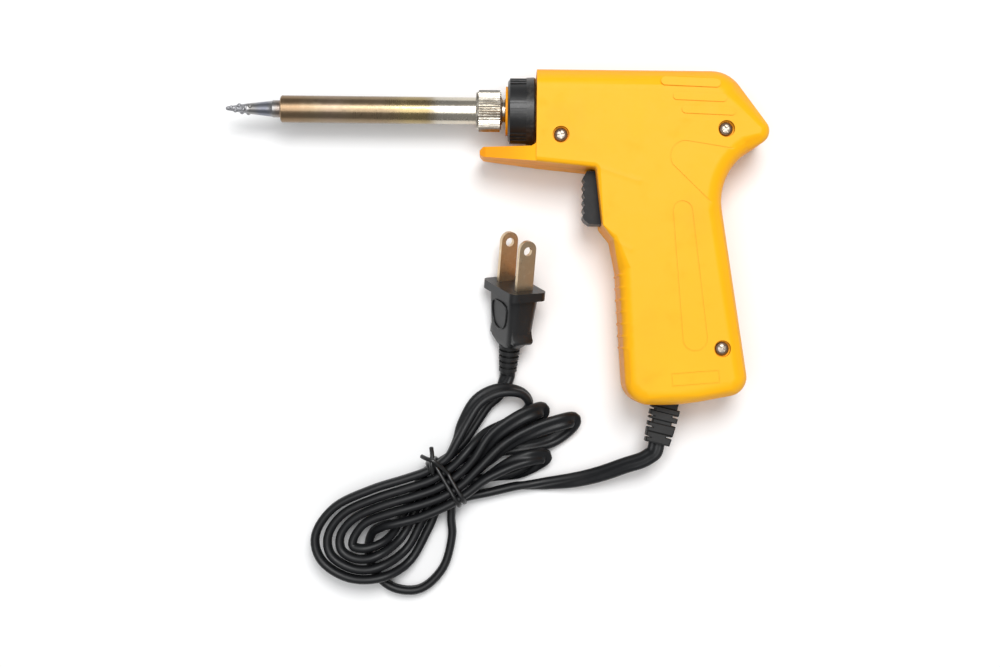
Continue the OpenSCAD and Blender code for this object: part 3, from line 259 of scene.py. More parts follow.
# Rows: place along and across the hank's waist line, height, roll from lying flat in degrees
HANK = [
    [18.6, -14.4, 3, 90], [10.6, -11.6, 3.2, 90],
    [-1.4, -7.5, LOW, 90], [-5.8, -11.2, 3.4, 90], [-9.6, -17.6, 3, 90], [-18, -25, 3, 90], [-28.6, -27, 3, 90],
    [-36.6, -21.4, 3, 90], [-39, -12.4, 3, 90], [-36.4, -5, 3.2, 85], [-32, -1.2, 5.2, 85], [-27, -1.2, 8.6, 85],
    [-23.5, -2.4, 10.2, 88], [-15, -5.2, TOP, 90], [-4, -2 * COL, TOP, 90],
    [4, -2 * COL, TOP, 90], [12, -6.2, TOP, 80], [22, -6.6, 9.9, 40], [29, -8.4, 9.4, 8], [33, -10.8, 6.3, 0],
    [29.6, -11.6, 3, 20], [22, -11, 3.1, 60], [14, -7.6, 3.6, 85], [5, -3.8, LOW, 90],
    [-5, -4.4, LOW, 90], [-15.2, -10.8, LOW, 90], [-26.4, -16.6, 5, 90], [-37, -16, 9.4, 90],
    [-46.8, -10, 9.4, 90], [-51.8, 0, 8.8, 90], [-48.8, 9, 8.8, 90], [-38, 13.6, 9.5, 90], [-24, 12, TOP, 90],
    [-12, 8.8, TOP, 90], [-4, 2 * COL, TOP, 90],
    [4, 2 * COL, TOP, 90], [10, 10, TOP, 80], [16, 14.2, 9.8, 45], [24, 18, 9.2, 30], [32, 17.2, 8.4, 40],
    [38, 12.6, 6.6, 70], [38.6, 7.8, 4.6, 85], [34.6, 5.8, 3.2, 90], [28, 6.3, 3.3, 90], [20.6, 7.2, 5.4, 90],
    [15, 6.4, 8.6, 90], [10, 4.9, 10.2, 90], [4, COL, TOP, 90],
    [-4, COL, TOP, 90], [-12, 5.3, TOP, 90], [-24, 8.5, TOP, 90], [-36, 10.1, 9.5, 90], [-44.8, 6.8, 8.8, 90],
    [-48, 0, 8.8, 90], [-43.9, -8, 9.4, 90], [-36, -12.4, 9.4, 90], [-25.2, -12.4, 5, 90],
    [-14.8, -6.7, LOW, 90], [-5, -0.7, LOW, 90],
    [5, 0, LOW, 90], [10, -0.6, 3.3, 70], [15, -1, 2, 30], [22, -0.3, 1.6, 0], [30, 0.5, 1.6, 0],
    [37.6, 1.5, 2.4, 0], [41, 3.2, 5.4, 0], [38.4, 4.4, 9, 5], [31.6, 5.4, 10.6, 18], [22, 4.9, 10.8, 32],
    [12, 1.5, 10.6, 75], [4, 0, TOP, 90],
    [-4, 0, TOP, 90], [-12, 1.8, TOP, 90], [-24, 5.2, TOP, 90], [-34, 6.6, 9.5, 90], [-41.2, 4.4, 8.8, 90],
    [-44, -0.6, 8.8, 90], [-40.8, -6, 9.4, 90], [-34, -8.8, 9.4, 90], [-24.2, -8, 5, 90],
    [-14.4, -2.2, LOW, 90], [-5, 2.9, LOW, 90],
    [5, COL, LOW, 90], [10, 3.8, 4.2, 80], [15, 2.4, 4.9, 35], [22, -0.4, 5, 0], [30, -4.4, 4.7, 5],
    [38, -7.4, 2.8, 15], [45, -7.2, 3.2, 10], [48.4, -5.6, 6, 0], [45, -3.8, 9, 8], [36, -1.4, 9.6, 20],
    [24, -0.2, 9.8, 50], [12, -2, TOP, 80], [4, -COL, TOP, 90],
    [-4, -COL, TOP, 90], [-12, -1.8, TOP, 90], [-22, 1.2, TOP, 90], [-31, 3.2, 9.5, 90], [-37, 1.6, 8.8, 90],
    [-39.8, -1.2, 8.8, 90], [-36.8, -4.2, 9.3, 90], [-31.4, -5.8, 8, 90], [-27, -5.4, 5.4, 90],
    [-22.8, -3.4, 4, 90], [-14, 1.9, LOW, 90], [-5.4, 6.7, LOW, 90],
    [5, 2 * COL, LOW, 90], [12, 8.4, 3.4, 90], [19, 11.4, 3, 90], [26, 14.4, 3, 90]]


def in_hank(row):
    """A hank row's place, from its own lines to millimetres over the table."""
    u, v, z, roll = row
    c, s = cos(WAIST_TURN), sin(WAIST_TURN)
    return [WAIST.x + u * c - v * s, WAIST.y + u * s + v * c, z, roll]


def on_line(start, way, s, roll):
    """A row on a straight line, s along it from its start."""
    return [*(start + way * s), roll]


cord_rows = (
    [on_line(GLAND_END, GLAND_DIR, s, 0) for s in (-2, 0, 2.9)]
    + [[40.6, -118.2, 14.5, 0], [37.6, -120, 13.6, 0], [32.3, -121.9, 11.8, 0], [23.7, -125.3, 8.4, 10],
       [15.1, -127.7, 5.2, 25], [6, -129.1, 3.3, 50], [-0.6, -129.8, 3.2, 75]]
    + [in_hank(r) for r in HANK]
    + [[-12.2, -98.9, 3.2, 75], [-10, -94.7, 3.1, 45]]
    + [on_line(RELIEF_END, PLUG_DIR, s, 30) for s in (1.5, 0, -2)])


def smooth_rows(rows, steps):
    """Points of a smooth curve through the rows, whose last number is carried along."""
    out = []
    for i in range(len(rows) - 1):
        a, b, c, d = rows[max(i - 1, 0)], rows[i], rows[i + 1], rows[min(i + 2, len(rows) - 1)]
        for k in range(steps):
            t = k / steps
            out.append([(2 * q + (r - p) * t + (2 * p - 5 * q + 4 * r - w) * t * t
                         + (3 * q - p - 3 * r + w) * t ** 3) / 2 for p, q, r, w in zip(a, b, c, d)])
    return out + [rows[-1]]


def show(obj, body, material, smooth_angle=None):
    """Links a piece, sets its material and its body, and shades it smooth, all over or under an angle."""
    bpy.context.scene.collection.objects.link(obj)
    obj.data.materials.clear()
    obj.data.materials.append(material)
    obj.data.shade_smooth()
    if smooth_angle:
        obj.data.set_sharp_from_angle(angle=radians(smooth_angle))
    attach(obj, body)


def swept(name, rows, section):
    """A tube along rows of place and roll, in millimetres, with its section's points across and up."""
    n, m = len(rows), len(section)
    points = [Vector(r[:3]) for r in rows]
    verts, uvs, run = [], [], 0.0
    for i, p in enumerate(points):
        t = (points[min(i + 1, n - 1)] - points[max(i - 1, 0)]).normalized()
        s = t.cross(Vector((0, 0, 1))).normalized()
        u = s.cross(t)
        q = radians(rows[i][3])
        side, up = s * cos(q) + u * sin(q), u * cos(q) - s * sin(q)
        run += (p - points[max(i - 1, 0)]).length
        uvs.append(run)
        verts += [at(*(p + side * a + up * b)) for a, b in section]
    faces = [[i * m + k, i * m + (k + 1) % m, (i + 1) * m + (k + 1) % m, (i + 1) * m + k]
             for i in range(n - 1) for k in range(m)]
    faces += [list(range(m))[::-1], [(n - 1) * m + k for k in range(m)]]
    me = bpy.data.meshes.new(name)
    me.from_pydata(verts, [], faces)
    layer = me.uv_layers.new(name="along")
    for f in me.polygons:
        k = f.index % m
        for j, loop in enumerate(f.loop_indices):
            v = me.loops[loop].vertex_index
            layer.data[loop].uv = (uvs[v // m] * MM, (k + (1 if j in (1, 2) else 0)) / m)
    me.update()
    bm = bmesh.new()
    bm.from_mesh(me)
    bmesh.ops.recalc_face_normals(bm, faces=bm.faces)
    bm.to_mesh(me)
    bm.free()
    return bpy.data.objects.new(name, me), run


core_r, core_x = CORD_T / 2, CORD_W / 2 - CORD_T / 2
WEB_ANGLE, FACET = 48, 24                   # where the two round cores meet, and the degrees to a facet
figure_eight = [(side * core_x + core_r * cos(radians(a)), core_r * sin(radians(a)))
                for side, first in ((1, WEB_ANGLE - 180), (-1, WEB_ANGLE))
                for a in range(first, first + 2 * (180 - WEB_ANGLE) + 1, FACET)]
cord_path = smooth_rows(cord_rows, 6)
cord, cord_length = swept("flex", cord_path, figure_eight)

flex = Look("flex_pvc", (20, 21, 23), 0.4, shine=0.32)
along = Value(flex.tree, flex.tree.nodes.new("ShaderNodeUVMap").outputs[0])
dust = flex.noise(14, 5)
flex.paint((32, 32, 33), dust.step(0.48, 0.78) * 0.7)
flex.paint((15, 15, 16), flex.noise(4, 3).step(0.55, 0.8) * 0.6)
streak = along.feed("ShaderNodeTexNoise", {"Vector": along.feed("ShaderNodeMapping", {0: along, 3: (60, 160, 1)}),
                                           "Scale": 1.0, "Detail": 4.0})
flex.paint((52, 51, 50), flex.specks(1.2, 0.16) * 0.4)
flex.wear((streak - 0.5) * 0.22 + dust.step(0.5, 0.8) * 0.16)
flex.raise_by(streak * 0.03 + flex.noise(0.35, 2) * 0.012)
show(cord, "casing", flex.done())
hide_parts("cord_lead", "cord_hank", "cord_tail")

# Tie: a plastic-covered wire, wound twice about the hank's waist and twisted once; both ends stand off.
TIE_R = 0.75
TIE_FREE = [[1.8, 13.2, 13.4, 0], [0.6, 10.6, 14.8, 0], [-1.4, 8, 15.6, 0]]
TIE_OTHER = [[0.4, 8.6, 16.6, 0], [-1.4, 10.8, 15.4, 0], [-2.6, 12.4, 13.6, 0]]
TIE_FROM, TIE_WIDE, TIE_START = -2.6, 4.4, radians(60)
TIE_TURN = 4 * pi * 0.985                   # nearly two full turns
TIE_STEPS, BOX = 48, 5                      # points on the wrap, and how square its corners are
WAIST_HALF = (2 * COL + 1.45 + TIE_R + 0.1, (TOP - LOW) / 2 + 2.85 + TIE_R + 0.05)


def tie_turn(u, angle):
    """A place on the wrap about the waist, as a rounded box, at u along the waist's line."""
    c, s = cos(angle), sin(angle)
    q = (abs(c) ** BOX + abs(s) ** BOX) ** (-1 / BOX)
    return in_hank([u, WAIST_HALF[0] * c * q, (TOP + LOW) / 2 + WAIST_HALF[1] * s * q, 0])


def round_section(r, sides):
    return [(r * cos(2 * pi * k / sides), r * sin(2 * pi * k / sides)) for k in range(sides)]


tie_rows = [in_hank(r) for r in TIE_FREE]
tie_rows += [tie_turn(TIE_FROM + TIE_WIDE * k / TIE_STEPS, TIE_START - TIE_TURN * k / TIE_STEPS)
             for k in range(TIE_STEPS + 1)]
tie_rows += [in_hank(r) for r in TIE_OTHER]
over_table = [[r[0], r[1], max(r[2], TIE_R + 0.02), 0] for r in tie_rows]
tie, _ = swept("tie_wire", smooth_rows(over_table, 3), round_section(TIE_R, 10))
tie_look = Look("tie_cover", (20, 20, 21), 0.33, coat=0.25)
tie_look.paint((48, 47, 46), tie_look.noise(2.4, 4).step(0.5, 0.75) * 0.5)
tie_look.paint((86, 84, 82), tie_look.specks(0.7, 0.12) * 0.5)
tie_look.wear((tie_look.noise(1.1, 3) - 0.5) * 0.3)
tie_look.raise_by(tie_look.noise(0.5, 3) * 0.03)
show(tie, "casing", tie_look.done())
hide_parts("twist_tie")


# Shells, lock ring and trigger: injection moulded thermoplastic with a fine spark-eroded grain, faint
# flow lines and wear where hands reach. Three screws hold the two shells together.
def moulded(name, color, light, dark, rough, grain=0.45, depth=0.012, coat=0.0, scuff=0.5,
            flow=(1, 1, 1), shine=0.4):
    """The look of a moulding: its colour with lighter and darker clouds, a grain some mm wide and scuffs."""
    look = Look(name, color, rough, coat=coat, shine=shine)
    cloud = look.noise(46, 4)
    look.paint(light, cloud.step(0.5, 0.78) * 0.55)
    look.paint(dark, look.noise(31, 5).step(0.52, 0.8) * 0.5)
    lines = look.noise(5, 4, stretch=flow)
    look.paint(light, lines.step(0.58, 0.8) * 0.22)
    fine = look.noise(grain, 3)
    rub = look.specks(2.2, 0.13, (1, 0.35, 1)) * scuff
    look.paint(light, rub)
    look.wear((cloud - 0.5) * 0.12 + (lines - 0.5) * 0.08 + rub * 0.18 + (fine - 0.5) * 0.1)
    look.raise_by(fine * depth + cloud * 0.12 + lines * 0.01)
    return look


def line_mask(look, a, b, half, soft):
    """1 within half of the line from a to b, seen from above, fading over soft."""
    dx, dy = b[0] - a[0], b[1] - a[1]
    n = dx * dx + dy * dy
    px, py = look.x - a[0], look.y - a[1]
    t = ((px * dx + py * dy) / n).most(0.0).least(1.0)
    ex, ey = px - t * dx, py - t * dy
    return (ex * ex + ey * ey).root().step(half + soft, half - soft)


def row_mm(x, y):
    """A place from the barrel's axis and the body's front face, in the row frame's millimetres."""
    return (x - ORIGIN.x, y - ORIGIN.y)


SEAM_GAP = 2e-6             # corners nearer than this, in metres, are one corner
SAME_PLANE = 0.99995        # cosine between the normals of two triangles of one flat side
LARGE_FLAT = 6e-6           # least area of a flat side, in square metres, that its roundings run into
NO_FLAT = 1                 # an area that no side reaches, for pieces whose roundings are all turned


def refill(bm, height, facing):
    """Takes the triangles of one flat face at a height out of a mesh, and fills its outline again without folds."""
    flat = {f for f in bm.faces if all(abs(v.co.z - height) < SEAM_GAP for v in f.verts)}
    rim = [e for e in bm.edges
           if any(f in flat for f in e.link_faces) and any(f not in flat for f in e.link_faces)]
    bmesh.ops.delete(bm, geom=[f for f in bm.faces if f in flat], context="FACES_ONLY")
    bmesh.ops.delete(bm, geom=[e for e in bm.edges if not e.link_faces], context="EDGES")
    filled = bmesh.ops.triangle_fill(bm, edges=rim, use_beauty=True, normal=(0, 0, facing))
    faces = [g for g in filled["geom"] if isinstance(g, bmesh.types.BMFace)]
    bmesh.ops.reverse_faces(bm, faces=[f for f in faces if f.normal.z * facing < 0])


def flat_first(me, limit, least):
    """Corner normals of a mesh. A corner beside a flat side larger than the least area takes that side's normal, so
    that flat sides stay flat and roundings run into them; any other takes the mean of the faces within the limit."""
    faces, group = me.polygons, list(range(len(me.polygons)))

    def root(k):
        """The triangle that stands for all those in one plane with triangle k."""
        while group[k] != k:
            group[k] = group[group[k]]
            k = group[k]
        return k

    by_edge, by_vertex = {}, {}
    for f in faces:
        for key in f.edge_keys:
            by_edge.setdefault(key, []).append(f.index)
        for v in f.vertices:
            by_vertex.setdefault(v, []).append(f.index)
    for pair in by_edge.values():
        for k in pair[1:]:
            if faces[pair[0]].normal.dot(faces[k].normal) > SAME_PLANE:
                group[root(k)] = root(pair[0])
    area = {}
    for f in faces:
        area[root(f.index)] = area.get(root(f.index), 0) + f.area
    normals = [(0, 0, 0)] * len(me.loops)
    for f in faces:
        for corner in f.loop_indices:
            near = [k for k in by_vertex[me.loops[corner].vertex_index]
                    if faces[k].normal.dot(f.normal) > cos(radians(limit))]
            close = [k for k in near if faces[k].normal.dot(f.normal) > cos(radians(limit / 2))]
            best = max(close, key=lambda k: area[root(k)], default=f.index)
            if area[root(best)] > least:
                normals[corner] = faces[best].normal.copy()
            else:
                normals[corner] = sum((faces[k].normal * faces[k].area for k in near), f.normal * 1e-9).normalized()
    return normals


def merged(node, material, smooth_angle=32, refilled=None):
    """A copy of a CAD node's mesh with its seams joined, which shades smooth and stands for the node."""
    me = NODES[node].data.copy()
    bm = bmesh.new()
    bm.from_mesh(me)
    bmesh.ops.remove_doubles(bm, verts=bm.verts, dist=SEAM_GAP)
    if refilled:
        refill(bm, *refilled)
    bm.to_mesh(me)
    bm.free()
    if me.has_custom_normals:
        me.normals_split_custom_set([(0, 0, 0)] * len(me.loops))
    o = bpy.data.objects.new(node + "_piece", me)
    show(o, NODES[node]["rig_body"], material, smooth_angle)
    me.normals_split_custom_set(flat_first(me, smooth_angle, LARGE_FLAT if refilled else NO_FLAT))
    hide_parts(node)


def carried(node, material):
    """A CAD node that is shown as it is, with its own material."""
    NODES[node].data.materials.clear()
    NODES[node].data.materials.append(material)


SHOULDERS = (((20.2, -20.3), (34.6, -25)), ((22, -42.5), (32, -48)))    # faint ridges from the trigger's ends, raised by bump, with painted shade along them
SHELL_INNER = {"left_shell": (0.028, -1), "right_shell": (0.002, 1)}     # the flat inner face: height, way it faces
for name, inner in SHELL_INNER.items():
    shell = moulded(name + "_abs", (252, 180, 14), (253, 188, 26), (248, 166, 8), 0.46, scuff=0.15, shine=0.2)
    from_seam = (shell.z - MID_Z).absolute()
    # Painted shade: a deeper orange on the shell's walls and the lower part of its rounded edge, within 8.5 mm of the
    # joint and fading out by 14.2 mm, where less light from above falls.
    shell.paint((246, 142, 10), from_seam.step(14.2, 8.5) * 0.6)
    shell.paint((190, 116, 20), from_seam.step(0.9, 0.1) * 0.5)
    grime = shell.noise(7, 5).step(0.55, 0.85)
    shell.paint((196, 140, 44), grime * 0.14)
    shell.wear(grime * 0.1)
    if name == "left_shell":
        for a, b in SHOULDERS:
            shoulder = line_mask(shell, row_mm(*a), row_mm(*b), 0.2, 1.6)
            # Painted shade: a slightly darker orange along each ridge, beside its bump.
            shell.paint((246, 172, 30), shoulder * 0.4)
            shell.raise_by(shoulder * 0.15)
    merged(name, shell.done(), refilled=inner)


def off_axis(look):
    """Distance in millimetres from the barrel's axis."""
    return ((look.y + ORIGIN.y) ** 2.0 + (look.z - MID_Z) ** 2.0).root()


ring_look = moulded("lock_ring_pa", (22, 22, 23), (44, 44, 45), (12, 12, 12), 0.36, coat=0.1, flow=(3, 1, 1))
ring_look.paint((74, 73, 71), off_axis(ring_look).step(11.25, 11.5) * ring_look.noise(1.4, 3).step(0.4, 0.7) * 0.4)
merged("lock_ring", ring_look.done())

trigger_look = moulded("trigger_abs", (19, 19, 20), (36, 36, 37), (11, 11, 11), 0.4, scuff=0.6, shine=0.2)
trigger_look.wear(trigger_look.noise(2.2, 3) * 0.12)
merged("trigger", trigger_look.done())

# Gland: a rubber sleeve moulded round the cord, with notches in turn on both sides so that it bends.
gland_look = moulded("gland_rubber", (24, 24, 24), (40, 40, 40), (14, 14, 14), 0.55, grain=0.7, depth=0.03)
gland_look.wear(gland_look.noise(3, 4) * 0.1)
GLAND_AT = Vector((45.9, -100.3, MID_Z))

# Blocks along the cord: from, to, width at both, thickness, rounding, notches as (side, from, to, depth)
GLAND_BLOCKS = [
    (6.6, 4.4, 13, 13, 9, 0.2, []),
    (4.4, -1.35, 8, 8, 5.8, 0.2, []),
    (-1.35, -3.05, 10, 9.9, 7.2, 0.45, [(-1, -2.1, -3.0, 1.6)]),
    (-2.9, -5.9, 9.9, 9.7, 7.1, 0.45, [(1, -3.2, -4.2, 2.0), (-1, -4.6, -5.4, 1.6)]),
    (-5.8, -7.1, 6.6, 6.6, 5.2, 0.3, []),
    (-7.0, -10.4, 9.6, 9.2, 6.9, 0.45, [(-1, -8.3, -9.2, 2.0)]),
    (-10.2, -14, 9.2, 8.5, 6.8, 0.5, [(1, -10.5, -11.5, 2.0), (-1, -12, -12.8, 1.6)])]
NOTCH_SLOPE = 0.12


def slab(outline, thick, inset):
    """Rings of a flat piece from its outline: its two faces are smaller by the inset, for a rounded edge."""
    least = 2                               # parts of the outline nearer to the middle move less than the inset
    cx, cy = (sum(p[i] for p in outline) / len(outline) for i in (0, 1))
    small = [tuple(c + (a - c) * (1 - inset / max(abs(a - c), least)) for a, c in ((x, cx), (y, cy)))
             for x, y in outline]
    return [(small, -thick / 2), (outline, -thick / 2 + inset), (outline, thick / 2 - inset), (small, thick / 2)]


def stacked(name, slabs, place):
    """One mesh of several closed slabs, each with its outline and heights, put in place by a function."""
    bm = bmesh.new()
    for rings in slabs:
        loops = [[bm.verts.new(place(x, y, z)) for x, y in outline] for outline, z in rings]
        for a, b in zip(loops, loops[1:]):
            for k in range(len(a)):
                j = (k + 1) % len(a)
                bm.faces.new((a[k], a[j], b[j], b[k]))
        bm.faces.new(loops[0][::-1])
        bm.faces.new(loops[-1])
    bmesh.ops.recalc_face_normals(bm, faces=bm.faces)
    me = bpy.data.meshes.new(name)
    bm.to_mesh(me)
    bm.free()
    return bpy.data.objects.new(name, me)


def gland_place(x, y, z):
    """A place on the gland, from millimetres across it, along it and up from the middle of its height."""
    c, s = cos(-GLAND_TILT), sin(-GLAND_TILT)
    return at(GLAND_AT.x + x * c - y * s, GLAND_AT.y + x * s + y * c, GLAND_AT.z + z)


def notched(y0, y1, w0, w1, notches):
    """The outline of one gland block from y0 to y1, as wide as w0 and w1 there, with notches in its sides."""
    def half(y):
        return (w0 + (w1 - w0) * (y - y0) / (y1 - y0)) / 2

    right, left = [(half(y0), y0)], [(-half(y0), y0)]
    for side, a, b, d in notches:
        out = right if side > 0 else left
        out += [(side * half(y), y) if k in (0, 3) else (side * (half(y) - d), y)
                for k, y in enumerate((a, a - NOTCH_SLOPE, b + NOTCH_SLOPE, b))]
    return right + [(half(y1), y1)] + [(-half(y1), y1)] + left[::-1]


gland = stacked("cord_gland_piece", [slab(notched(y0, y1, w0, w1, notches), thick, rounding)
                                     for y0, y1, w0, w1, thick, rounding, notches in GLAND_BLOCKS], gland_place)
show(gland, "casing", gland_look.done(), 30)
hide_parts("cord_gland")

# Ferrule, nut, barrel and tip: turned steel and brass, nickel plated. The barrel has heat colours from
# its heater, and the tip is a plated copper rod whose end is tinned.
def turned_metal(name, color, light, dark, rough, spots=0.35):
    """The look of a turned and plated piece: fine rings about the barrel's axis, clouds and small spots."""
    look = Look(name, color, rough, metal=1.0)
    rings = look.noise(0.22, 3, stretch=(1, 0.02, 0.02))
    cloud = look.noise(5, 5)
    look.paint(light, cloud.step(0.5, 0.75) * 0.6)
    look.paint(dark, look.noise(2.6, 5).step(0.56, 0.8) * 0.6)
    spot = look.specks(0.9, 0.2) * spots
    look.paint(dark, spot)
    look.wear((rings - 0.5) * 0.16 + (cloud - 0.5) * 0.14 + spot * 0.25)
    look.raise_by(rings * 0.008 + spot * -0.02)
    return look


ferrule_look = turned_metal("ferrule_nickel", (196, 190, 178), (226, 222, 212), (120, 104, 84), 0.27)
ferrule_look.paint((92, 76, 58), off_axis(ferrule_look).step(4.2, 3.9) * 0.5)
merged("ferrule", ferrule_look.done())

nut_look = turned_metal("nut_nickel", (208, 202, 190), (236, 232, 224), (140, 124, 100), 0.24)
groove = off_axis(nut_look).step(7.1, 6.86)
nut_look.paint((74, 62, 48), groove * nut_look.noise(1.6, 4).step(0.3, 0.6) * 0.75)
nut_look.wear(groove * 0.25)
merged("knurled_nut", nut_look.done(), smooth_angle=18)

barrel = turned_metal("barrel_tinted_steel", (140, 124, 100), (166, 150, 126), (98, 82, 64), 0.22, 0.25)
along_x = barrel.x + (barrel.noise(9, 4) - 0.5) * 9
barrel.paint((206, 186, 150), along_x.step(-24, -8) * 0.92)
barrel.paint((176, 156, 104), along_x.band(-34, -22, 6) * 0.5)
barrel.paint((206, 202, 192), along_x.step(-24, -18) * 0.7)
barrel.paint((142, 120, 94), along_x.band(-48, -36, 7) * 0.6)
barrel.paint((146, 124, 110), along_x.band(-60, -52, 5) * 0.45)
barrel.paint((138, 112, 86), along_x.step(-58, -70) * 0.7)
barrel.paint((84, 66, 50), barrel.noise(3.4, 6).step(0.58, 0.85) * barrel.x.step(-20, -50) * 0.55)
barrel.wear(barrel.x.step(-10, -60) * 0.1 + barrel.noise(1.2, 4).step(0.5, 0.8) * 0.12)
merged("barrel_tube", barrel.done())

tip_look = turned_metal("tip_plated", (150, 148, 146), (186, 184, 180), (92, 86, 84), 0.34, 0.3)
tip_x = tip_look.x + (tip_look.noise(2.2, 4) - 0.5) * 3
tip_look.paint((104, 112, 138), tip_x.band(-82, -77.5, 1.6) * 0.5)
tip_look.paint((122, 92, 66), tip_x.step(-77, -74) * 0.5)
tinned = tip_x.step(-84, -86.5)
tip_look.paint((178, 178, 182), tinned * 0.85)
tip_look.paint((52, 48, 46), tip_look.noise(1.1, 5).step(0.5, 0.72) * tinned * 0.7)
tip_look.wear(tip_look.noise(0.8, 4) * tinned * 0.3)
tip_look.raise_by(tip_look.noise(1.3, 3) * tinned * 0.45 + tip_look.noise(0.5, 3) * tinned * 0.12)
tip_metal = tip_look.done()
merged("tip", tip_metal)
TIP_END, END_R, TIP_TAPER = -106.9, 0.45, 0.135      # the tip's end, and where the drops' middles lie about its axis
# Drops of solder on the tinned end: place along the barrel, degrees about it, radius
SOLDER = ((-105, 60, 0.62), (-103.6, 150, 0.72), (-102.2, 40, 0.86), (-100.6, 110, 0.9), (-103.2, 265, 0.8),
          (-99.2, 195, 0.8), (-98.4, 70, 0.7), (-101.4, 200, 0.84))
drops = bmesh.new()
for x, turn, size in SOLDER:
    reach = END_R + (x - TIP_END) * TIP_TAPER
    place = at(x, reach * cos(radians(turn)), MID_Z + reach * sin(radians(turn)))
    bmesh.ops.create_icosphere(drops, subdivisions=3, radius=size * MM, matrix=Matrix.Translation(place))
drop_mesh = bpy.data.meshes.new("tip_solder")
drops.to_mesh(drop_mesh)
drops.free()
show(bpy.data.objects.new("tip_solder", drop_mesh), NODES["tip"]["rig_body"], tip_metal, 60)


# Case screws, cold headed and zinc plated, and the plug's blades, stamped from nickel plated brass.
def small_metal(name, color, light, dark, rough, lines=(1, 1, 1)):
    """The look of a small drawn or stamped piece: clouds, dull marks and fine lines the way it was drawn."""
    look = Look(name, color, rough, metal=1.0)
    look.paint(light, look.noise(1.8, 5).step(0.48, 0.75) * 0.6)
    look.paint(dark, look.noise(0.9, 5).step(0.55, 0.8) * 0.65)
    drawn = look.noise(0.25, 3, stretch=lines)
    look.wear((drawn - 0.5) * 0.22 + look.noise(1.3, 3) * 0.08)
    look.raise_by(drawn * 0.008 + look.noise(0.6, 3) * 0.01)
    return look


screw_look = small_metal("case_screw_zinc", (150, 140, 128), (196, 188, 176), (92, 70, 50), 0.34)
# Painted shade: the screw turns dark brown lower than about 27.5 mm, down in its recess below the head's top.
screw_look.paint((60, 46, 36), screw_look.z.step(27.9, 27.4) * 0.7)
merged("case_screws", screw_look.done())
blade_look = small_metal("blade_nickel", (214, 192, 160), (236, 222, 198), (166, 140, 108), 0.3, (1, 0.06, 1))
blade_look.paint((96, 84, 66), blade_look.specks(0.8, 0.2) * 0.6)
merged("plug_blades", blade_look.done())

# Plug: soft PVC moulded over the blades, a rim to grip, a tapered body and a ribbed relief.
plug_look = moulded("plug_pvc", (27, 27, 28), (46, 46, 46), (16, 16, 16), 0.4, grain=0.6, depth=0.02, coat=0.08)
plug_look.paint((60, 59, 58), plug_look.specks(1.3, 0.14) * 0.4)
plug_pvc = plug_look.done()
merged("plug_body", plug_pvc)
PLUG_TURN = (Matrix.Rotation(-PLUG_YAW, 3, "Z") @ Matrix.Rotation(PLUG_PITCH, 3, "X")
             @ Matrix.Rotation(PLUG_ROLL, 3, "Y"))
EAR = [(6.6, -12.6), (7.9, -15.6), (8.5, -16.9), (9.3, -17.8), (9.3, -18.7), (8.5, -19.3), (6.6, -19.2)]
EAR_T, LOW_EAR_T, EAR_ROUND = 7.6, 5.2, 0.5
LOW_EAR_OUT, LOW_EAR_SHIFT = 8.2, 1.1       # the lower ear is smaller, to stay over the table
SHIELD = [(0, -5.4), (2.6, -5.5), (4.4, -6.1), (5, -7.6), (5, -9.4), (4.6, -11.6), (3.6, -13.6), (2, -14.8), (0, -15.2)]
SHIELD_OUT, FACE_TOP, FACE_SLOPE, BEAD_R = 5.74, -3.5, 15, 0.3


def plug_place(x, y, z):
    """A place on the plug, from millimetres across its flat faces, along it and across its blades."""
    return PLUG_AT + PLUG_TURN @ Vector((x, y, z))


low_ear = [(-min(a, LOW_EAR_OUT), b) for a, b in EAR[:4] + EAR[5:]]
low_slab = [(ring, h - LOW_EAR_SHIFT) for ring, h in slab(low_ear, LOW_EAR_T, EAR_ROUND)]
ears = stacked("plug_ears", [slab(EAR, EAR_T, EAR_ROUND), low_slab], lambda a, b, c: at(*plug_place(c, b, a)))
show(ears, NODES["plug_body"]["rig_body"], plug_pvc, 50)
shield = SHIELD + [(-a, b) for a, b in SHIELD[-2:0:-1]] + SHIELD[:2]
shield_rows = [(*plug_place(-SHIELD_OUT + (FACE_TOP - b) / FACE_SLOPE, b, a), 0) for a, b in shield]
shield_line, _ = swept("plug_shield", shield_rows, round_section(BEAD_R, 8))
show(shield_line, NODES["plug_body"]["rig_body"], plug_pvc, 60)
relief_look = moulded("relief_pvc", (23, 23, 24), (40, 40, 40), (13, 13, 13), 0.47, grain=0.5, depth=0.02)
relief_look.paint((52, 51, 50), relief_look.noise(1.2, 4).step(0.55, 0.8) * 0.4)
merged("plug_relief", relief_look.done())

# Inside of the iron: ceramic heater with its winding and mica, sprung switch with its diode, wires,
# crimped joints and the cord's clamp. They are seen only when the shells are off.
ceramic = {"heater_core": ((232, 226, 212), (246, 242, 232), (176, 150, 118)),
           "ceramic_bush": ((236, 232, 222), (248, 246, 240), (188, 168, 138))}
for name, (color, light, dark) in ceramic.items():
    look = Look(name + "_steatite", color, 0.62)
    look.paint(light, look.noise(3.5, 5).step(0.45, 0.75) * 0.6)
    look.paint(dark, look.noise(6, 5).step(0.55, 0.85) * 0.55)
    look.paint((120, 100, 80), look.specks(1.1, 0.16) * 0.4)
    look.wear((look.noise(0.8, 4) - 0.5) * 0.2)
    look.raise_by(look.noise(0.4, 4) * 0.03)
    carried(name, look.done())

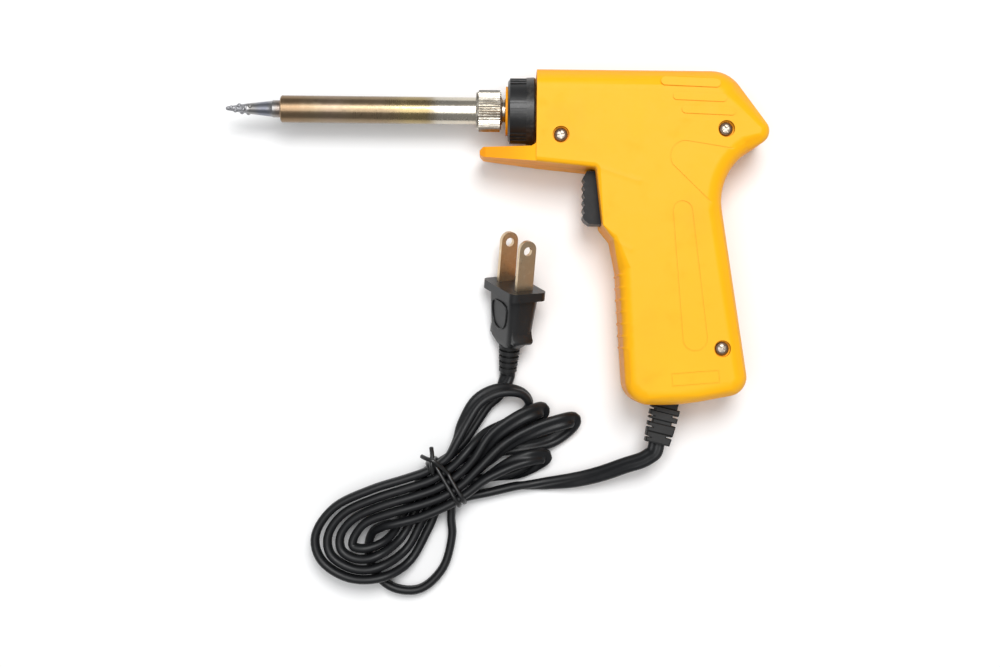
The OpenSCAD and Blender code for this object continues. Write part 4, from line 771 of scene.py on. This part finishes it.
WIRE_PITCH = 0.6
winding = small_metal("heater_wire", (128, 118, 108), (168, 156, 142), (76, 62, 52), 0.42)
coil = (winding.x * (2 * pi / WIRE_PITCH)).sine()
# Painted shade: dark bands in the hollows between the turns of the wire, where the bump is lowest.
winding.paint((58, 48, 42), coil.step(-0.2, -0.9) * 0.9)
winding.raise_by(coil * 0.08)
carried("heater_winding", winding.done())
mica = Look("mica_sheet", (196, 172, 128), 0.3, coat=0.3)
mica.paint((224, 206, 170), mica.noise(4, 5, stretch=(0.4, 1, 1)).step(0.45, 0.7) * 0.7)
mica.paint((128, 100, 66), mica.noise(7, 5).step(0.56, 0.8) * 0.6)
mica.paint((240, 228, 200), mica.specks(1.5, 0.2) * 0.6)
mica.wear((mica.noise(2, 4) - 0.5) * 0.25)
mica.raise_by(mica.cells(3, (0.5, 1, 1)) * 0.05)
carried("mica_sleeve", mica.done())

for name, color, light, dark in (
        ("heater_leads", (222, 216, 200), (238, 234, 222), (160, 140, 112)),
        ("jumper_wire", (226, 226, 228), (242, 242, 242), (176, 172, 166)),
        ("mains_cores", (74, 60, 52), (98, 82, 72), (48, 38, 34)),
        ("cord_inner", (26, 26, 27), (42, 42, 42), (16, 16, 16))):
    look = Look(name + "_cover", color, 0.45)
    look.paint(light, look.noise(3, 5).step(0.45, 0.72) * 0.6)
    look.paint(dark, look.noise(5, 5).step(0.55, 0.8) * 0.5)
    look.paint(dark, look.specks(0.8, 0.15) * 0.5)
    look.wear((look.noise(1.1, 4) - 0.5) * 0.24)
    look.raise_by(look.noise(0.5, 4) * 0.02)
    carried(name, look.done())

for name, args in {
        "switch_body": ((34, 34, 38), (52, 52, 56), (20, 20, 22), 0.4),
        "switch_plunger": ((176, 32, 26), (204, 54, 44), (128, 20, 18), 0.36),
        "diode": ((28, 28, 30), (48, 48, 50), (16, 16, 16), 0.38),
        "crimp_connectors": ((196, 44, 34), (220, 72, 58), (150, 28, 22), 0.4),
        "cord_clamp": ((40, 40, 42), (62, 62, 64), (24, 24, 24), 0.5)}.items():
    look = moulded(name + "_moulding", *args, grain=0.35, scuff=0.4)
    look.paint(args[2], look.noise(2.2, 5).step(0.55, 0.8) * 0.4)
    carried(name, look.done())

carried("switch_terminals", small_metal("terminal_brass", (186, 148, 78), (216, 184, 116), (118, 88, 44), 0.3).done())
carried("clamp_screws", small_metal("clamp_screw_zinc", (168, 166, 162), (206, 204, 200), (104, 96, 86), 0.32).done())
spring = small_metal("spring_steel", (170, 170, 174), (206, 206, 210), (96, 88, 78), 0.28, (0.1, 1, 1))
merged("trigger_spring", spring.done(), smooth_angle=60)
